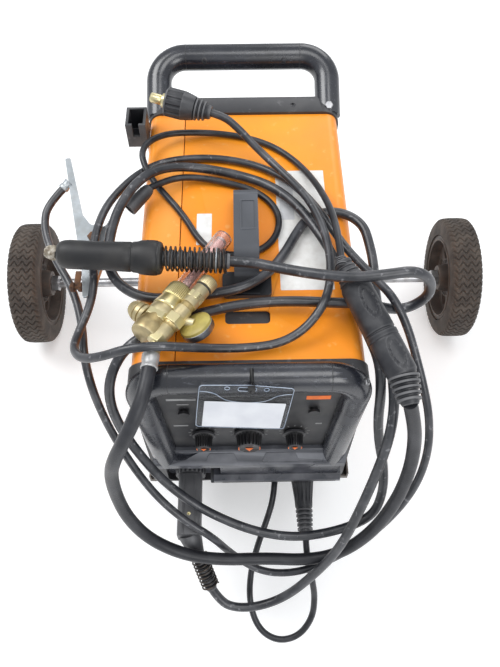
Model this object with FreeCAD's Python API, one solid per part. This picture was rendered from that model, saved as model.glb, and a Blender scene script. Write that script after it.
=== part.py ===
"""Wire-feed welder on a low four-wheel cart, with its gun, ground clamp, gas regulator and leads.

Millimetres. X runs across the machine, to the right seen from the front, Y runs to the rear,
Z is up. The origin is on the floor, under the middle of the cart and machine.
"""
import FreeCAD
import Part
import math
import os

V = FreeCAD.Vector
X_AXIS, Y_AXIS, Z_AXIS = V(1, 0, 0), V(0, 1, 0), V(0, 0, 1)

# Cart
WHEEL_RADIUS = 108.0
TYRE_WIDTH = 50.0
RIM_RADIUS = 78.0
WHEEL_X = 378.0
AXLE_Y = 144.0
AXLE_RADIUS = 8.0
SHEET = 2.5
DECK_TOP = 123.0
DECK_HALF_WIDTH = 150.0
DECK_FRONT, DECK_REAR = -240.0, 232.0
CASTER_X, CASTER_PIVOT_Y = 105.0, -150.0
CASTER_TRAIL = 25.0
CASTER_RADIUS = 37.5

# Welder housing
COVER_HALF_WIDTH = 132.5
COVER_TOP = 466.0
COVER_FRONT, COVER_REAR = -227.0, 173.0
COVER_CORNER = 16.0
SEAM_X = -82.5
BASE_BOTTOM = 137.0
BASE_WALL_TOP = 228.0
DOOR_BOTTOM, DOOR_TOP = 232.0, 434.0
BEZEL_HALF_WIDTH = 136.0
BEZEL_BOTTOM, BEZEL_TOP = 148.0, 470.0
PANEL_FRONT = -252.0
LEDGE_Z = 284.0
BAR_RADIUS = 16.5
BAR_Y, BAR_Z = -252.5, 475.0
REAR_BAR_RADIUS = 18.0
REAR_BAR_Y, REAR_BAR_Z = 268.0, 490.0
HINGE_X, HINGE_Y = -137.0, 166.0

# Controls and sockets
KNOB_Z = 328.0
KNOB_FACE = -274.0
SMALL_KNOB_X = 57.0
BUTTON_X, BUTTON_Z = 77.0, 393.0
GUN_SOCKET_X, GUN_SOCKET_Z = -82.0, 206.0
OUTPUT_Z = 171.0
PLUGGED_X, FREE_X, LEAD_X = 77.0, 0.0, 37.0
SOCKET_FACE = -244.0
LATCH_Y, LATCH_Z = -196.0, 333.0
FAN_X, FAN_Z = 44.0, 300.0
SWITCH_X, SWITCH_Y, SWITCH_Z = -80.0, 202.5, 400.0
INLET_X, INLET_Z, MAINS_Z = -80.0, 320.0, 240.0

# Wire side
DIVIDER_X = -22.5
SPOOL_Y, SPOOL_Z = 58.0, 336.0
FEED_Y, FEED_Z = -150.0, 206.0

# Gun, from the front of its handle to the tail of its boot
GUN_START, GUN_END = (-204.6, -115.7, 521.1), (-19, -126.5, 518)
# Regulator, from the bell end along its body
REGULATOR_START, REGULATOR_WAY = (-112, -213, 500.5), (0.5, 0.864, -0.086)
GAUGE_CENTRE = (-60, -200, 500)
VALVE_FACE, VALVE_WAY = (-49, -152.7, 503), (48, 65.3, 0)
# Ground clamp pivot
CLAMP_X, CLAMP_Y = -186.0, -58.0
# Boot of the gun connector, from its grip to the cable
BOOT_START, BOOT_END = (GUN_SOCKET_X + 1, -346, GUN_SOCKET_Z - 2), (-54, -403, 146)

# Fits
RUNNING_FIT = 0.05


def box(x0, x1, y0, y1, z0, z1):
    """A block between two opposite corners."""
    return Part.makeBox(x1 - x0, y1 - y0, z1 - z0, V(x0, y0, z0))


def rod(radius, start, end):
    """A round bar between two points."""
    a, b = V(*start), V(*end)
    return Part.makeCylinder(radius, (b - a).Length, a, b - a)


def cone(radius_start, radius_end, start, end):
    """A tapered round bar between two points."""
    a, b = V(*start), V(*end)
    return Part.makeCone(radius_start, radius_end, (b - a).Length, a, b - a)


def join(*shapes):
    """One solid from pieces that touch or overlap."""
    whole = shapes[0].fuse(list(shapes[1:])) if len(shapes) > 1 else shapes[0]
    return whole.removeSplitter()


def mirrored(shape):
    """The same shape on the other side of the machine's centre plane."""
    return shape.mirror(V(0, 0, 0), X_AXIS)


def corner_arc(start, corner, end):
    """The arc that leaves start towards corner and reaches end, tangent at both."""
    middle = (start + end) * 0.5
    half_chord = (end - start).Length / 2
    rise = (corner - middle).Length
    half_turn = math.atan2(rise, half_chord)
    top = middle + (corner - middle) * (half_chord * math.tan(half_turn / 2) / rise)
    return Part.Arc(start, top, end)


def rounded_edges(points, closed):
    """Lines along (point, corner radius) pairs, with a tangent arc at each corner."""
    count = len(points)
    starts, ends, edges = [], [], []
    for index, (point, radius) in enumerate(points):
        inner = closed or 0 < index < count - 1
        if not inner or radius == 0:
            starts.append(point)
            ends.append(point)
            continue
        before = (points[index - 1][0] - point).normalize()
        after = (points[(index + 1) % count][0] - point).normalize()
        reach = radius / math.tan(before.getAngle(after) / 2)
        starts.append(point + before * reach)
        ends.append(point + after * reach)
        edges.append((index, corner_arc(starts[-1], point, ends[-1]).toShape()))
    arcs = dict(edges)
    path = []
    for index in range(count):
        if index in arcs:
            path.append(arcs[index])
        following = (index + 1) % count
        if not closed and index == count - 1:
            break
        if (starts[following] - ends[index]).Length > 1e-6:
            path.append(Part.LineSegment(ends[index], starts[following]).toShape())
    return path


def prism(plane, corners, low, high):
    """A flat outline with rounded corners (u, v, radius), pushed from low to high.

    The plane "xz" is pushed along Y, "yz" along X and "xy" along Z.
    """
    place = {"xz": lambda u, v: V(u, low, v),
             "yz": lambda u, v: V(low, u, v),
             "xy": lambda u, v: V(u, v, low)}[plane]
    push = {"xz": Y_AXIS, "yz": X_AXIS, "xy": Z_AXIS}[plane]
    edges = rounded_edges([(place(u, v), r) for u, v, r in corners], True)
    face = Part.Face(Part.Wire(edges))
    return face.extrude(push * (high - low))


def panel(half_width, z0, z1, radius, y0, y1):
    """An upright rounded rectangle, centred on the machine, from y0 to y1."""
    corners = [(-half_width, z0, radius), (half_width, z0, radius),
               (half_width, z1, radius), (-half_width, z1, radius)]
    return prism("xz", corners, y0, y1)


def turned(profile, centre, axis):
    """A round piece: (distance along the axis, radius) pairs turned about the axis."""
    axis = V(*axis).normalize()
    side = axis.cross(Z_AXIS if abs(axis.z) < 0.9 else X_AXIS).normalize()
    middle = V(*centre)
    points = [middle + axis * along + side * radius for along, radius in profile]
    face = Part.Face(Part.makePolygon(points + [points[0]]))
    return face.revolve(middle, axis, 360)


def hexagon(across_flats, start, end):
    """A hexagonal bar between two points."""
    a, b = V(*start), V(*end)
    axis = (b - a).normalize()
    side = axis.cross(Z_AXIS if abs(axis.z) < 0.9 else X_AXIS).normalize()
    other = axis.cross(side)
    radius = across_flats / math.sqrt(3)
    points = []
    for step in range(7):
        angle = math.radians(60 * step)
        points.append(a + side * (radius * math.cos(angle)) + other * (radius * math.sin(angle)))
    return Part.Face(Part.makePolygon(points)).extrude(V(*end) - a)


def tube_along(edges, radius):
    """A round section swept along an unbroken, tangent path."""
    wire = Part.Wire(edges)
    start = edges[0].valueAt(edges[0].FirstParameter)
    heading = edges[0].tangentAt(edges[0].FirstParameter)
    section = Part.Wire(Part.makeCircle(radius, start, heading))
    return wire.makePipeShell([section], True, False)


def bent_tube(points, radius):
    """A round tube along (x, y, z, corner radius) points."""
    return tube_along(rounded_edges([(V(x, y, z), r) for x, y, z, r in points], False), radius)


def spring(start, end, coil_radius, wire_radius, turns):
    """A coil spring as one unbroken wire, on two arcs for each quarter turn."""
    a, b = V(*start), V(*end)
    axis = (b - a).normalize()
    side = axis.cross(Z_AXIS if abs(axis.z) < 0.9 else X_AXIS).normalize()
    other = axis.cross(side)
    pitch = (b - a).Length / turns
    quarters = int(round(turns * 4))
    lean = pitch / (2 * math.pi)

    def helix(quarter):
        angle = quarter * math.pi / 2
        around = side * (coil_radius * math.cos(angle)) + other * (coil_radius * math.sin(angle))
        turn_way = side * (-coil_radius * math.sin(angle)) + other * (coil_radius * math.cos(angle))
        return a + axis * (pitch * quarter / 4) + around, (turn_way + axis * lean).normalize()

    edges = []
    for quarter in range(quarters):
        p0, t0 = helix(quarter)
        p1, t1 = helix(quarter + 1)
        gap, both = p1 - p0, t0 + t1
        square = both.dot(both) - 4
        linear = -2 * gap.dot(both)
        root = math.sqrt(linear * linear - 4 * square * gap.dot(gap))
        reach = min(d for d in ((-linear + root) / (2 * square), (-linear - root) / (2 * square))
                    if d > 0)
        c0, c1 = p0 + t0 * reach, p1 - t1 * reach
        joint = (c0 + c1) * 0.5
        edges.append(corner_arc(p0, c0, joint).toShape())
        edges.append(corner_arc(joint, c1, p1).toShape())
    return tube_along(edges, wire_radius), pitch - 2 * wire_radius


# Cart pieces


def cart_deck():
    """Folded steel tray with welded axle brackets and caster plates."""
    under = DECK_TOP - SHEET
    lip_top = DECK_TOP + 17
    plate = box(-DECK_HALF_WIDTH, DECK_HALF_WIDTH, DECK_FRONT, DECK_REAR, under, DECK_TOP)
    side = box(DECK_HALF_WIDTH - SHEET, DECK_HALF_WIDTH, DECK_FRONT, DECK_REAR, under, lip_top)
    rear = box(-DECK_HALF_WIDTH, DECK_HALF_WIDTH, DECK_REAR - SHEET, DECK_REAR, under, lip_top)
    front = box(-DECK_HALF_WIDTH, DECK_HALF_WIDTH, DECK_FRONT, DECK_FRONT + SHEET, under, DECK_TOP + 6)
    rest_pad = box(-140, 140, 186, 226, DECK_TOP, DECK_TOP + 1)
    bracket_half, bracket_x = 24.0, 118.0
    bracket = prism("yz", [(AXLE_Y - bracket_half, under, 0), (AXLE_Y - 16, 92, 8),
                           (AXLE_Y + 16, 92, 8), (AXLE_Y + bracket_half, under, 0)],
                    bracket_x, bracket_x + 6)
    bracket = bracket.cut(rod(AXLE_RADIUS, (bracket_x - 1, AXLE_Y, WHEEL_RADIUS),
                              (bracket_x + 7, AXLE_Y, WHEEL_RADIUS)))
    caster_plate = box(CASTER_X - 32, CASTER_X + 32, CASTER_PIVOT_Y - 32, CASTER_PIVOT_Y + 32,
                       under - 3, under)
    kingpin = rod(5, (CASTER_X, CASTER_PIVOT_Y, under - 16), (CASTER_X, CASTER_PIVOT_Y, under - 3))
    pin_head = rod(9, (CASTER_X, CASTER_PIVOT_Y, under - 19), (CASTER_X, CASTER_PIVOT_Y, under - 16))
    handed = [side, bracket, caster_plate, kingpin, pin_head]
    return join(plate, rear, front, rest_pad, *handed, *[mirrored(shape) for shape in handed])


def axle():
    """Plain steel axle, with a nut on each side of both wheels."""
    reach = WHEEL_X + TYRE_WIDTH / 2 + 14
    shaft = rod(AXLE_RADIUS, (-reach, AXLE_Y, WHEEL_RADIUS), (reach, AXLE_Y, WHEEL_RADIUS))
    pieces = [shaft]
    for side in (-1, 1):
        for near, far in ((WHEEL_X - 38, WHEEL_X - 26.2), (WHEEL_X + 26.2, WHEEL_X + 37)):
            nut = hexagon(26, (side * near, AXLE_Y, WHEEL_RADIUS), (side * far, AXLE_Y, WHEEL_RADIUS))
            pieces.append(nut.cut(shaft))
    return Part.makeCompound(pieces)


def tyre(side):
    """Solid rubber tyre with a rounded shoulder."""
    half = TYRE_WIDTH / 2
    rounded = [(-half, RIM_RADIUS), (-half, WHEEL_RADIUS - 14), (-half + 2.5, WHEEL_RADIUS - 5.5),
               (-half + 8, WHEEL_RADIUS - 1.2), (-half + 14, WHEEL_RADIUS), (half - 14, WHEEL_RADIUS),
               (half - 8, WHEEL_RADIUS - 1.2), (half - 2.5, WHEEL_RADIUS - 5.5),
               (half, WHEEL_RADIUS - 14), (half, RIM_RADIUS)]
    return turned(rounded, (side * WHEEL_X, AXLE_Y, WHEEL_RADIUS), (1, 0, 0))


def rim(side):
    """Moulded wheel centre: rim band, slotted web and long hub with a plain bore."""
    half = TYRE_WIDTH / 2
    centre = (side * WHEEL_X, AXLE_Y, WHEEL_RADIUS)
    bore = AXLE_RADIUS + RUNNING_FIT
    section = [(-half - 1, bore), (-half - 1, 22), (-6, 26), (-6, 66), (-half + 2, 69),
               (-half + 2, RIM_RADIUS), (half - 2, RIM_RADIUS), (half - 2, 69), (6, 66), (6, 26),
               (half + 1, 22), (half + 1, bore)]
    body = turned(section, centre, (1, 0, 0))
    windows = []
    for step in range(8):
        angle = math.radians(45 * step + 22.5)
        y = centre[1] + 47 * math.cos(angle)
        z = centre[2] + 47 * math.sin(angle)
        windows.append(rod(11, (centre[0] - 9, y, z), (centre[0] + 9, y, z)))
    return body.cut(Part.makeCompound(windows))


def caster_fork(side):
    """Pressed swivel fork that turns on the kingpin and carries the caster's pin."""
    x, y = side * CASTER_X, CASTER_PIVOT_Y
    under = DECK_TOP - SHEET
    crown_top = under - 3.4
    wheel_y = y + CASTER_TRAIL
    crown = prism("xy", [(x - 22, y - 22, 10), (x + 22, y - 22, 10), (x + 22, wheel_y + 12, 6),
                         (x - 22, wheel_y + 12, 6)], crown_top - 12.4, crown_top)
    leg = prism("yz", [(y - 16, crown_top - 4, 2), (wheel_y + 12, crown_top - 4, 2),
                       (wheel_y + 9, CASTER_RADIUS - 9, 6), (wheel_y - 9, CASTER_RADIUS - 9, 6)],
                x + 17, x + 20)
    other_leg = leg.translated(V(-37, 0, 0))
    pin = rod(4, (x - 24, wheel_y, CASTER_RADIUS), (x + 24, wheel_y, CASTER_RADIUS))
    bore = rod(5 + RUNNING_FIT, (x, y, crown_top - 14), (x, y, crown_top + 1))
    head_room = rod(9.4, (x, y, under - 19.4), (x, y, under - 15.7))
    return join(crown, leg, other_leg, pin).cut(Part.makeCompound([bore, head_room]))


def caster_wheel(side):
    """Small hard rubber wheel on a plain bore."""
    centre = (side * CASTER_X, CASTER_PIVOT_Y + CASTER_TRAIL, CASTER_RADIUS)
    section = [(-15, 4 + RUNNING_FIT), (-15, 12), (-13, 14), (-13, 33), (-9, CASTER_RADIUS),
               (9, CASTER_RADIUS), (13, 33), (13, 14), (15, 12), (15, 4 + RUNNING_FIT)]
    return turned(section, centre, (1, 0, 0))


# Housing


def feet():
    """Four rubber feet under the base pan."""
    pieces = []
    for x in (-105, 105):
        for y in (-190, 140):
            pieces.append(cone(15, 13, (x, y, DECK_TOP), (x, y, BASE_BOTTOM)))
    return Part.makeCompound(pieces)


def base_pan():
    """Folded steel bottom of the case with low side walls."""
    rear = COVER_REAR
    floor = box(-COVER_HALF_WIDTH, COVER_HALF_WIDTH, COVER_FRONT, rear, BASE_BOTTOM, BASE_BOTTOM + SHEET)
    wall = box(COVER_HALF_WIDTH - SHEET, COVER_HALF_WIDTH, COVER_FRONT, rear, BASE_BOTTOM, BASE_WALL_TOP)
    flange = box(COVER_HALF_WIDTH - 14, COVER_HALF_WIDTH, COVER_FRONT, rear,
                 BASE_WALL_TOP - SHEET, BASE_WALL_TOP)
    front = box(-COVER_HALF_WIDTH, COVER_HALF_WIDTH, COVER_FRONT, COVER_FRONT + SHEET,
                BASE_BOTTOM, BASE_BOTTOM + 14)
    back = front.translated(V(0, rear - COVER_FRONT - SHEET, 0))
    return join(floor, wall, mirrored(wall), flange, mirrored(flange), front, back)


def centre_divider():
    """Sheet wall between the wire side and the power side, with the fixed spool hub."""
    x = DIVIDER_X + SHEET
    wall = box(DIVIDER_X, x, COVER_FRONT + 3, COVER_REAR - 3, BASE_BOTTOM + SHEET, COVER_TOP - SHEET)
    tray_room = box(DIVIDER_X - 1.5, x + 17, COVER_FRONT, -149.6, COVER_TOP - 9.4, COVER_TOP)
    foot = box(x, x + 16, COVER_FRONT + 3, COVER_REAR - 3, BASE_BOTTOM + SHEET, BASE_BOTTOM + 2 * SHEET)
    top = box(x, x + 16, COVER_FRONT + 3, COVER_REAR - 3, COVER_TOP - 2 * SHEET, COVER_TOP - SHEET)
    hub = rod(24, (DIVIDER_X, SPOOL_Y, SPOOL_Z), (DIVIDER_X - 83.5, SPOOL_Y, SPOOL_Z))
    cap = rod(30, (DIVIDER_X - 83.5, SPOOL_Y, SPOOL_Z), (DIVIDER_X - 89.5, SPOOL_Y, SPOOL_Z))
    motor_hole = rod(9, (DIVIDER_X - 1, FEED_Y, FEED_Z), (x + 1, FEED_Y, FEED_Z))
    return join(wall, foot, top, hub, cap).cut(Part.makeCompound([motor_hole, tray_room]))


def top_cover():
    """Orange top sheet that folds over the right side, with the slot ahead of the handle."""
    outer, inner = COVER_HALF_WIDTH, COVER_HALF_WIDTH - SHEET
    low = 408.0
    sheet = prism("xz", [(SEAM_X + 1, COVER_TOP, 0), (outer, COVER_TOP, COVER_CORNER), (outer, low, 0),
                         (inner, low, 0), (inner, COVER_TOP - SHEET, COVER_CORNER - SHEET),
                         (SEAM_X + 1, COVER_TOP - SHEET, 0)], COVER_FRONT, COVER_REAR)
    slot = prism("xy", [(-26, -177, 5), (26, -177, 5), (26, -159, 5), (-26, -159, 5)],
                 COVER_TOP - 2 * SHEET, COVER_TOP + 1)
    return sheet.cut(slot)


def left_shoulder_cover():
    """Orange cover of the left top edge, above the side door."""
    outer, inner = -COVER_HALF_WIDTH, -COVER_HALF_WIDTH + SHEET
    low = DOOR_TOP + 2
    return prism("xz", [(SEAM_X, COVER_TOP, 1), (outer, COVER_TOP, COVER_CORNER), (outer, low, 0),
                        (inner, low, 0), (inner, COVER_TOP - SHEET, COVER_CORNER - SHEET),
                        (SEAM_X, COVER_TOP - SHEET, 0)], COVER_FRONT, COVER_REAR)


def right_side_panel():
    """Orange right side with cooling louvres."""
    outer, inner = COVER_HALF_WIDTH, COVER_HALF_WIDTH - SHEET
    sheet = box(inner, outer, COVER_FRONT, COVER_REAR, BASE_WALL_TOP + 1, 407)
    slots = []
    for row in range(9):
        z = 290 + 9 * row
        slots.append(box(inner - 1, outer + 1, -40, 60, z, z + 3.2))
    return sheet.cut(Part.makeCompound(slots))


def side_door():
    """Orange door of the wire side, hinged at its rear edge."""
    outer, inner = -COVER_HALF_WIDTH, -COVER_HALF_WIDTH + SHEET
    front, rear = COVER_FRONT + 2, HINGE_Y
    skin = box(outer, inner, front, rear, DOOR_BOTTOM, DOOR_TOP)
    fold_top = box(outer, inner + 9, front + 16, rear - 12, DOOR_TOP - SHEET, DOOR_TOP)
    fold_bottom = box(outer, inner + 9, front + 16, rear - 12, DOOR_BOTTOM, DOOR_BOTTOM + SHEET)
    knuckle = rod(4.5, (HINGE_X, HINGE_Y, DOOR_BOTTOM + 22), (HINGE_X, HINGE_Y, DOOR_TOP - 22))
    leaf = box(HINGE_X, inner, HINGE_Y - 8, HINGE_Y, DOOR_BOTTOM + 22, DOOR_TOP - 22)
    pin_bore = rod(2 + RUNNING_FIT, (HINGE_X, HINGE_Y, DOOR_BOTTOM), (HINGE_X, HINGE_Y, DOOR_TOP))
    latch_bore = rod(5 + RUNNING_FIT, (outer - 1, LATCH_Y, LATCH_Z), (inner + 1, LATCH_Y, LATCH_Z))
    return join(skin, fold_top, fold_bottom, knuckle, leaf).cut(Part.makeCompound([pin_bore, latch_bore]))


def door_latch():
    """Quarter-turn knob whose tongue turns forward behind the front frame's strike."""
    outer, inner = -COVER_HALF_WIDTH, -COVER_HALF_WIDTH + SHEET
    dial = rod(13, (outer - 6, LATCH_Y, LATCH_Z), (outer - 0.2, LATCH_Y, LATCH_Z))
    grip = box(outer - 12, outer - 6, LATCH_Y - 3.5, LATCH_Y + 3.5, LATCH_Z - 12, LATCH_Z + 12)
    stem = rod(5, (outer - 1, LATCH_Y, LATCH_Z), (inner + 16, LATCH_Y, LATCH_Z))
    tongue = box(inner + 13, inner + 16, LATCH_Y - 7, LATCH_Y + 7, LATCH_Z - 7, LATCH_Z + 28)
    return join(dial, grip, stem, tongue)


def bar_hoop():
    """The front bumper bar: a round bar that turns down at both ends into two legs."""
    top_x, foot_x = 124.0, 111.0
    return bent_tube([(-foot_x, BAR_Y - 1.5, LEDGE_Z - 32, 0), (-top_x, BAR_Y, BAR_Z, 36),
                      (top_x, BAR_Y, BAR_Z, 36), (foot_x, BAR_Y - 1.5, LEDGE_Z - 32, 0)], BAR_RADIUS)


def handle_hoop():
    """The rear handle: a round bar bent into a D, rising to the rear."""
    reach = 121.5
    return bent_tube([(-reach, 186, 450.5, 0), (-reach, REAR_BAR_Y, REAR_BAR_Z, 38),
                      (reach, REAR_BAR_Y, REAR_BAR_Z, 38), (reach, 186, 450.5, 0)], REAR_BAR_RADIUS)


def front_bezel(hoop):
    """Moulded front frame, hollowed for the panels, with a ledge under the top slot."""
    frame = panel(BEZEL_HALF_WIDTH, BEZEL_BOTTOM, BEZEL_TOP, 24, -250, COVER_FRONT - 0.3)
    window = panel(118, BEZEL_BOTTOM + 4, BEZEL_TOP - 20, 10, -251, COVER_FRONT)
    shelf = box(-32, 32, COVER_FRONT - 8, -150, COVER_TOP - 9, COVER_TOP - 5.4)
    strike = box(-129.6, -117.4, COVER_FRONT - 1, COVER_FRONT + 13, LATCH_Z - 9, LATCH_Z + 9)
    return join(frame.cut(window), shelf, strike).cut(hoop)


def control_panel(hoop):
    """Dark front panel with its shaft holes and the frame of the display."""
    plate = box(-117.8, 117.8, PANEL_FRONT, PANEL_FRONT + 5, LEDGE_Z, BEZEL_TOP - 20.2)
    display = prism("xz", [(-46, 380, 4), (46, 380, 4), (46, 436, 4), (-46, 436, 4)],
                    PANEL_FRONT - 2, PANEL_FRONT)
    holes = []
    for x in (-SMALL_KNOB_X, 0, SMALL_KNOB_X):
        holes.append(rod(3 + RUNNING_FIT, (x, PANEL_FRONT - 1, KNOB_Z), (x, PANEL_FRONT + 6, KNOB_Z)))
    for x in (-BUTTON_X, BUTTON_X):
        holes.append(rod(5 + RUNNING_FIT, (x, PANEL_FRONT - 1, BUTTON_Z), (x, PANEL_FRONT + 6, BUTTON_Z)))
    return join(plate, display).cut(Part.makeCompound(holes)).cut(hoop)


def socket_panel(hoop):
    """Stepped ledge and lip over the recessed socket plate, cut away at the gun socket."""
    front, back = SOCKET_FACE + 4, SOCKET_FACE + 8
    nose, step, lip_top, lip_low = -270.0, LEDGE_Z - 34, 206.0, 191.0
    plate = box(-117.8, 117.8, front, back, BEZEL_BOTTOM + 4.2, step)
    ledge = prism("yz", [(back, LEDGE_Z - 0.2, 0), (-258, LEDGE_Z - 0.2, 3), (nose, LEDGE_Z - 22, 4),
                         (nose, step, 3), (back, step, 0)], -128, 128)
    notch = prism("xz", [(-132, LEDGE_Z - 14, 0), (-86, LEDGE_Z - 14, 0), (-60, LEDGE_Z + 1, 0),
                         (-132, LEDGE_Z + 1, 0)], -275, -259)
    lip = prism("yz", [(back, lip_top, 0), (-263, lip_top, 3), (nose, lip_top - 6, 3),
                       (nose, lip_low, 3), (back, lip_low, 0)], -116, 128)
    web = box(-40, 124, -262, back, lip_top - 1, step + 1)
    cutaway = prism("xz", [(-116.5, lip_low - 1, 0), (-56, lip_low - 1, 0), (-50, lip_low + 4, 0),
                           (-50, lip_top + 2, 0), (-116.5, lip_top + 2, 0)], -275, front)
    frame = panel(BEZEL_HALF_WIDTH + 1, BEZEL_BOTTOM - 1, BEZEL_TOP + 1, 24, -250.2, COVER_FRONT)
    frame = frame.cut(panel(117.8, BEZEL_BOTTOM + 4.2, BEZEL_TOP - 20.2, 9.8, -251, COVER_FRONT + 1))
    body = join(plate, ledge.cut(notch), lip.cut(cutaway), web).cut(frame).cut(hoop)
    holes = [rod(20, (GUN_SOCKET_X, front - 1, GUN_SOCKET_Z), (GUN_SOCKET_X, back + 1, GUN_SOCKET_Z))]
    for x, radius in ((PLUGGED_X, 16), (FREE_X, 16), (LEAD_X, 7)):
        holes.append(rod(radius, (x, front - 1, OUTPUT_Z), (x, back + 1, OUTPUT_Z)))
    return body.cut(Part.makeCompound(holes))


def output_sockets():
    """Gun receiver, two bayonet current sockets, and the gland of the polarity lead between them."""
    gun_x, gun_z = GUN_SOCKET_X, GUN_SOCKET_Z
    gun_collar = rod(24, (gun_x, SOCKET_FACE, gun_z), (gun_x, SOCKET_FACE + 4, gun_z))
    gun_barrel = rod(20, (gun_x, SOCKET_FACE + 4, gun_z), (gun_x, -200, gun_z))
    gun_bore = rod(9, (gun_x, SOCKET_FACE - 1, gun_z), (gun_x, -199, gun_z))
    pieces = [join(gun_collar, gun_barrel).cut(gun_bore)]
    for x in (PLUGGED_X, FREE_X):
        collar = rod(18, (x, SOCKET_FACE, OUTPUT_Z), (x, SOCKET_FACE + 4, OUTPUT_Z))
        barrel = rod(16, (x, SOCKET_FACE + 4, OUTPUT_Z), (x, -205, OUTPUT_Z))
        pieces.append(join(collar, barrel).cut(rod(7, (x, SOCKET_FACE - 1, OUTPUT_Z), (x, -215, OUTPUT_Z))))
    nut = rod(9, (LEAD_X, -248, OUTPUT_Z), (LEAD_X, SOCKET_FACE + 4, OUTPUT_Z))
    sleeve = cone(5.5, 8, (LEAD_X, -258, OUTPUT_Z), (LEAD_X, -248, OUTPUT_Z))
    stem = rod(7, (LEAD_X, SOCKET_FACE + 4, OUTPUT_Z), (LEAD_X, -222, OUTPUT_Z))
    pieces.append(join(nut, sleeve, stem))
    return Part.makeCompound(pieces)


def knob(x, radius):
    """Fluted control knob with its pointer ridge and shaft."""
    y = PANEL_FRONT
    skirt = rod(radius + 3, (x, y - 7, KNOB_Z), (x, y - 2.4, KNOB_Z))
    body = cone(radius, radius - 1.5, (x, y - 7, KNOB_Z), (x, KNOB_FACE, KNOB_Z))
    shaft = rod(3, (x, y - 3, KNOB_Z), (x, y + 14, KNOB_Z))
    flutes = []
    for step in range(16):
        angle = math.radians(22.5 * step)
        px = x + radius * math.cos(angle)
        pz = KNOB_Z + radius * math.sin(angle)
        flutes.append(rod(1.2, (px, y - 7.5, pz), (px, KNOB_FACE - 1, pz)))
    return join(skirt, body.cut(Part.makeCompound(flutes)), shaft)


def button(x):
    """Round push button on a guided stem."""
    y = PANEL_FRONT
    cap = rod(7, (x, y - 6, BUTTON_Z), (x, y - 2.4, BUTTON_Z))
    stem = rod(5, (x, y - 3, BUTTON_Z), (x, y + 9, BUTTON_Z))
    return join(cap, stem)


def rear_bezel(handle):
    """Moulded rear frame with its fan grille, switch opening and door hinge lugs."""
    y0, y1 = COVER_REAR + 0.3, 205.0
    frame = panel(BEZEL_HALF_WIDTH, BEZEL_BOTTOM, BEZEL_TOP, 24, y0, y1)
    hollow = panel(124, BEZEL_BOTTOM + 10, BEZEL_TOP - 10, 14, y0 - 1, y1 - 5)
    shell = frame.cut(hollow)
    fan_hole = rod(56, (FAN_X, y1 - 6, FAN_Z), (FAN_X, y1 + 1, FAN_Z))
    switch_hole = box(SWITCH_X - 12, SWITCH_X + 12, y1 - 6, y1 + 1, SWITCH_Z - 17, SWITCH_Z + 17)
    trunnion_hole = rod(1.5 + RUNNING_FIT, (SWITCH_X - 14.5, SWITCH_Y, SWITCH_Z),
                        (SWITCH_X + 14.5, SWITCH_Y, SWITCH_Z))
    inlet_hole = rod(7, (INLET_X, y1 - 6, INLET_Z), (INLET_X, y1 + 1, INLET_Z))
    mains_hole = rod(11, (INLET_X, y1 - 6, MAINS_Z), (INLET_X, y1 + 1, MAINS_Z))
    shell = shell.cut(Part.makeCompound([fan_hole, switch_hole, trunnion_hole, inlet_hole, mains_hole]))
    rings = []
    for radius in (18, 29, 40, 51):
        ring = rod(radius, (FAN_X, y1 - 3, FAN_Z), (FAN_X, y1, FAN_Z))
        rings.append(ring.cut(rod(radius - 3, (FAN_X, y1 - 4, FAN_Z), (FAN_X, y1 + 1, FAN_Z))))
    spokes = []
    for step in range(6):
        bar = box(FAN_X - 2.5, FAN_X + 2.5, y1 - 5, y1 - 1, FAN_Z, FAN_Z + 58)
        bar.rotate(V(FAN_X, 0, FAN_Z), Y_AXIS, 60 * step)
        spokes.append(bar)
    boss = rod(18, (FAN_X, y1 - 8, FAN_Z), (FAN_X, y1 - 1, FAN_Z))
    spindle = rod(3, (FAN_X, y1 - 34, FAN_Z), (FAN_X, y1 - 8, FAN_Z))
    lugs, pin = [], rod(2, (HINGE_X, HINGE_Y, DOOR_BOTTOM + 4), (HINGE_X, HINGE_Y, DOOR_TOP - 4))
    for z0, z1 in ((DOOR_BOTTOM + 4, DOOR_BOTTOM + 21.6), (DOOR_TOP - 21.6, DOOR_TOP - 4)):
        lugs.append(box(HINGE_X - 4, HINGE_X + 4, HINGE_Y, y0 + 6, z0, z1))
        lugs.append(rod(4, (HINGE_X, HINGE_Y, z0), (HINGE_X, HINGE_Y, z1)))
    clear = box(-COVER_HALF_WIDTH - 0.4, -100, HINGE_Y - 12, y0, DOOR_BOTTOM, DOOR_TOP)
    lug_block = join(*lugs).cut(clear)
    return join(shell.cut(handle), boss, spindle, pin, lug_block, *rings, *spokes)


def fan_rotor():
    """Seven-blade cooling fan on the grille's spindle."""
    y0, y1 = 174.0, 194.0
    hub = rod(17, (FAN_X, y0, FAN_Z), (FAN_X, y1, FAN_Z))
    blades = []
    for step in range(7):
        blade = box(-9, 9, -1.2, 1.2, 14, 50)
        blade.rotate(V(0, 0, 0), Z_AXIS, 35)
        blade.translate(V(FAN_X, (y0 + y1) / 2, FAN_Z))
        blade.rotate(V(FAN_X, 0, FAN_Z), Y_AXIS, step * 360 / 7)
        blades.append(blade)
    bore = rod(3 + RUNNING_FIT, (FAN_X, y0 - 1, FAN_Z), (FAN_X, y1 + 1, FAN_Z))
    return join(hub, *blades).cut(bore)


def power_switch():
    """Rocker of the mains switch on its trunnions."""
    rocker = prism("yz", [(197, SWITCH_Z - 15, 1), (204.5, SWITCH_Z - 15, 1), (207.5, SWITCH_Z, 0),
                          (209.5, SWITCH_Z + 15, 1), (197, SWITCH_Z + 15, 1)], SWITCH_X - 11, SWITCH_X + 11)
    return join(rocker, rod(1.5, (SWITCH_X - 14, SWITCH_Y, SWITCH_Z), (SWITCH_X + 14, SWITCH_Y, SWITCH_Z)))


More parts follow.
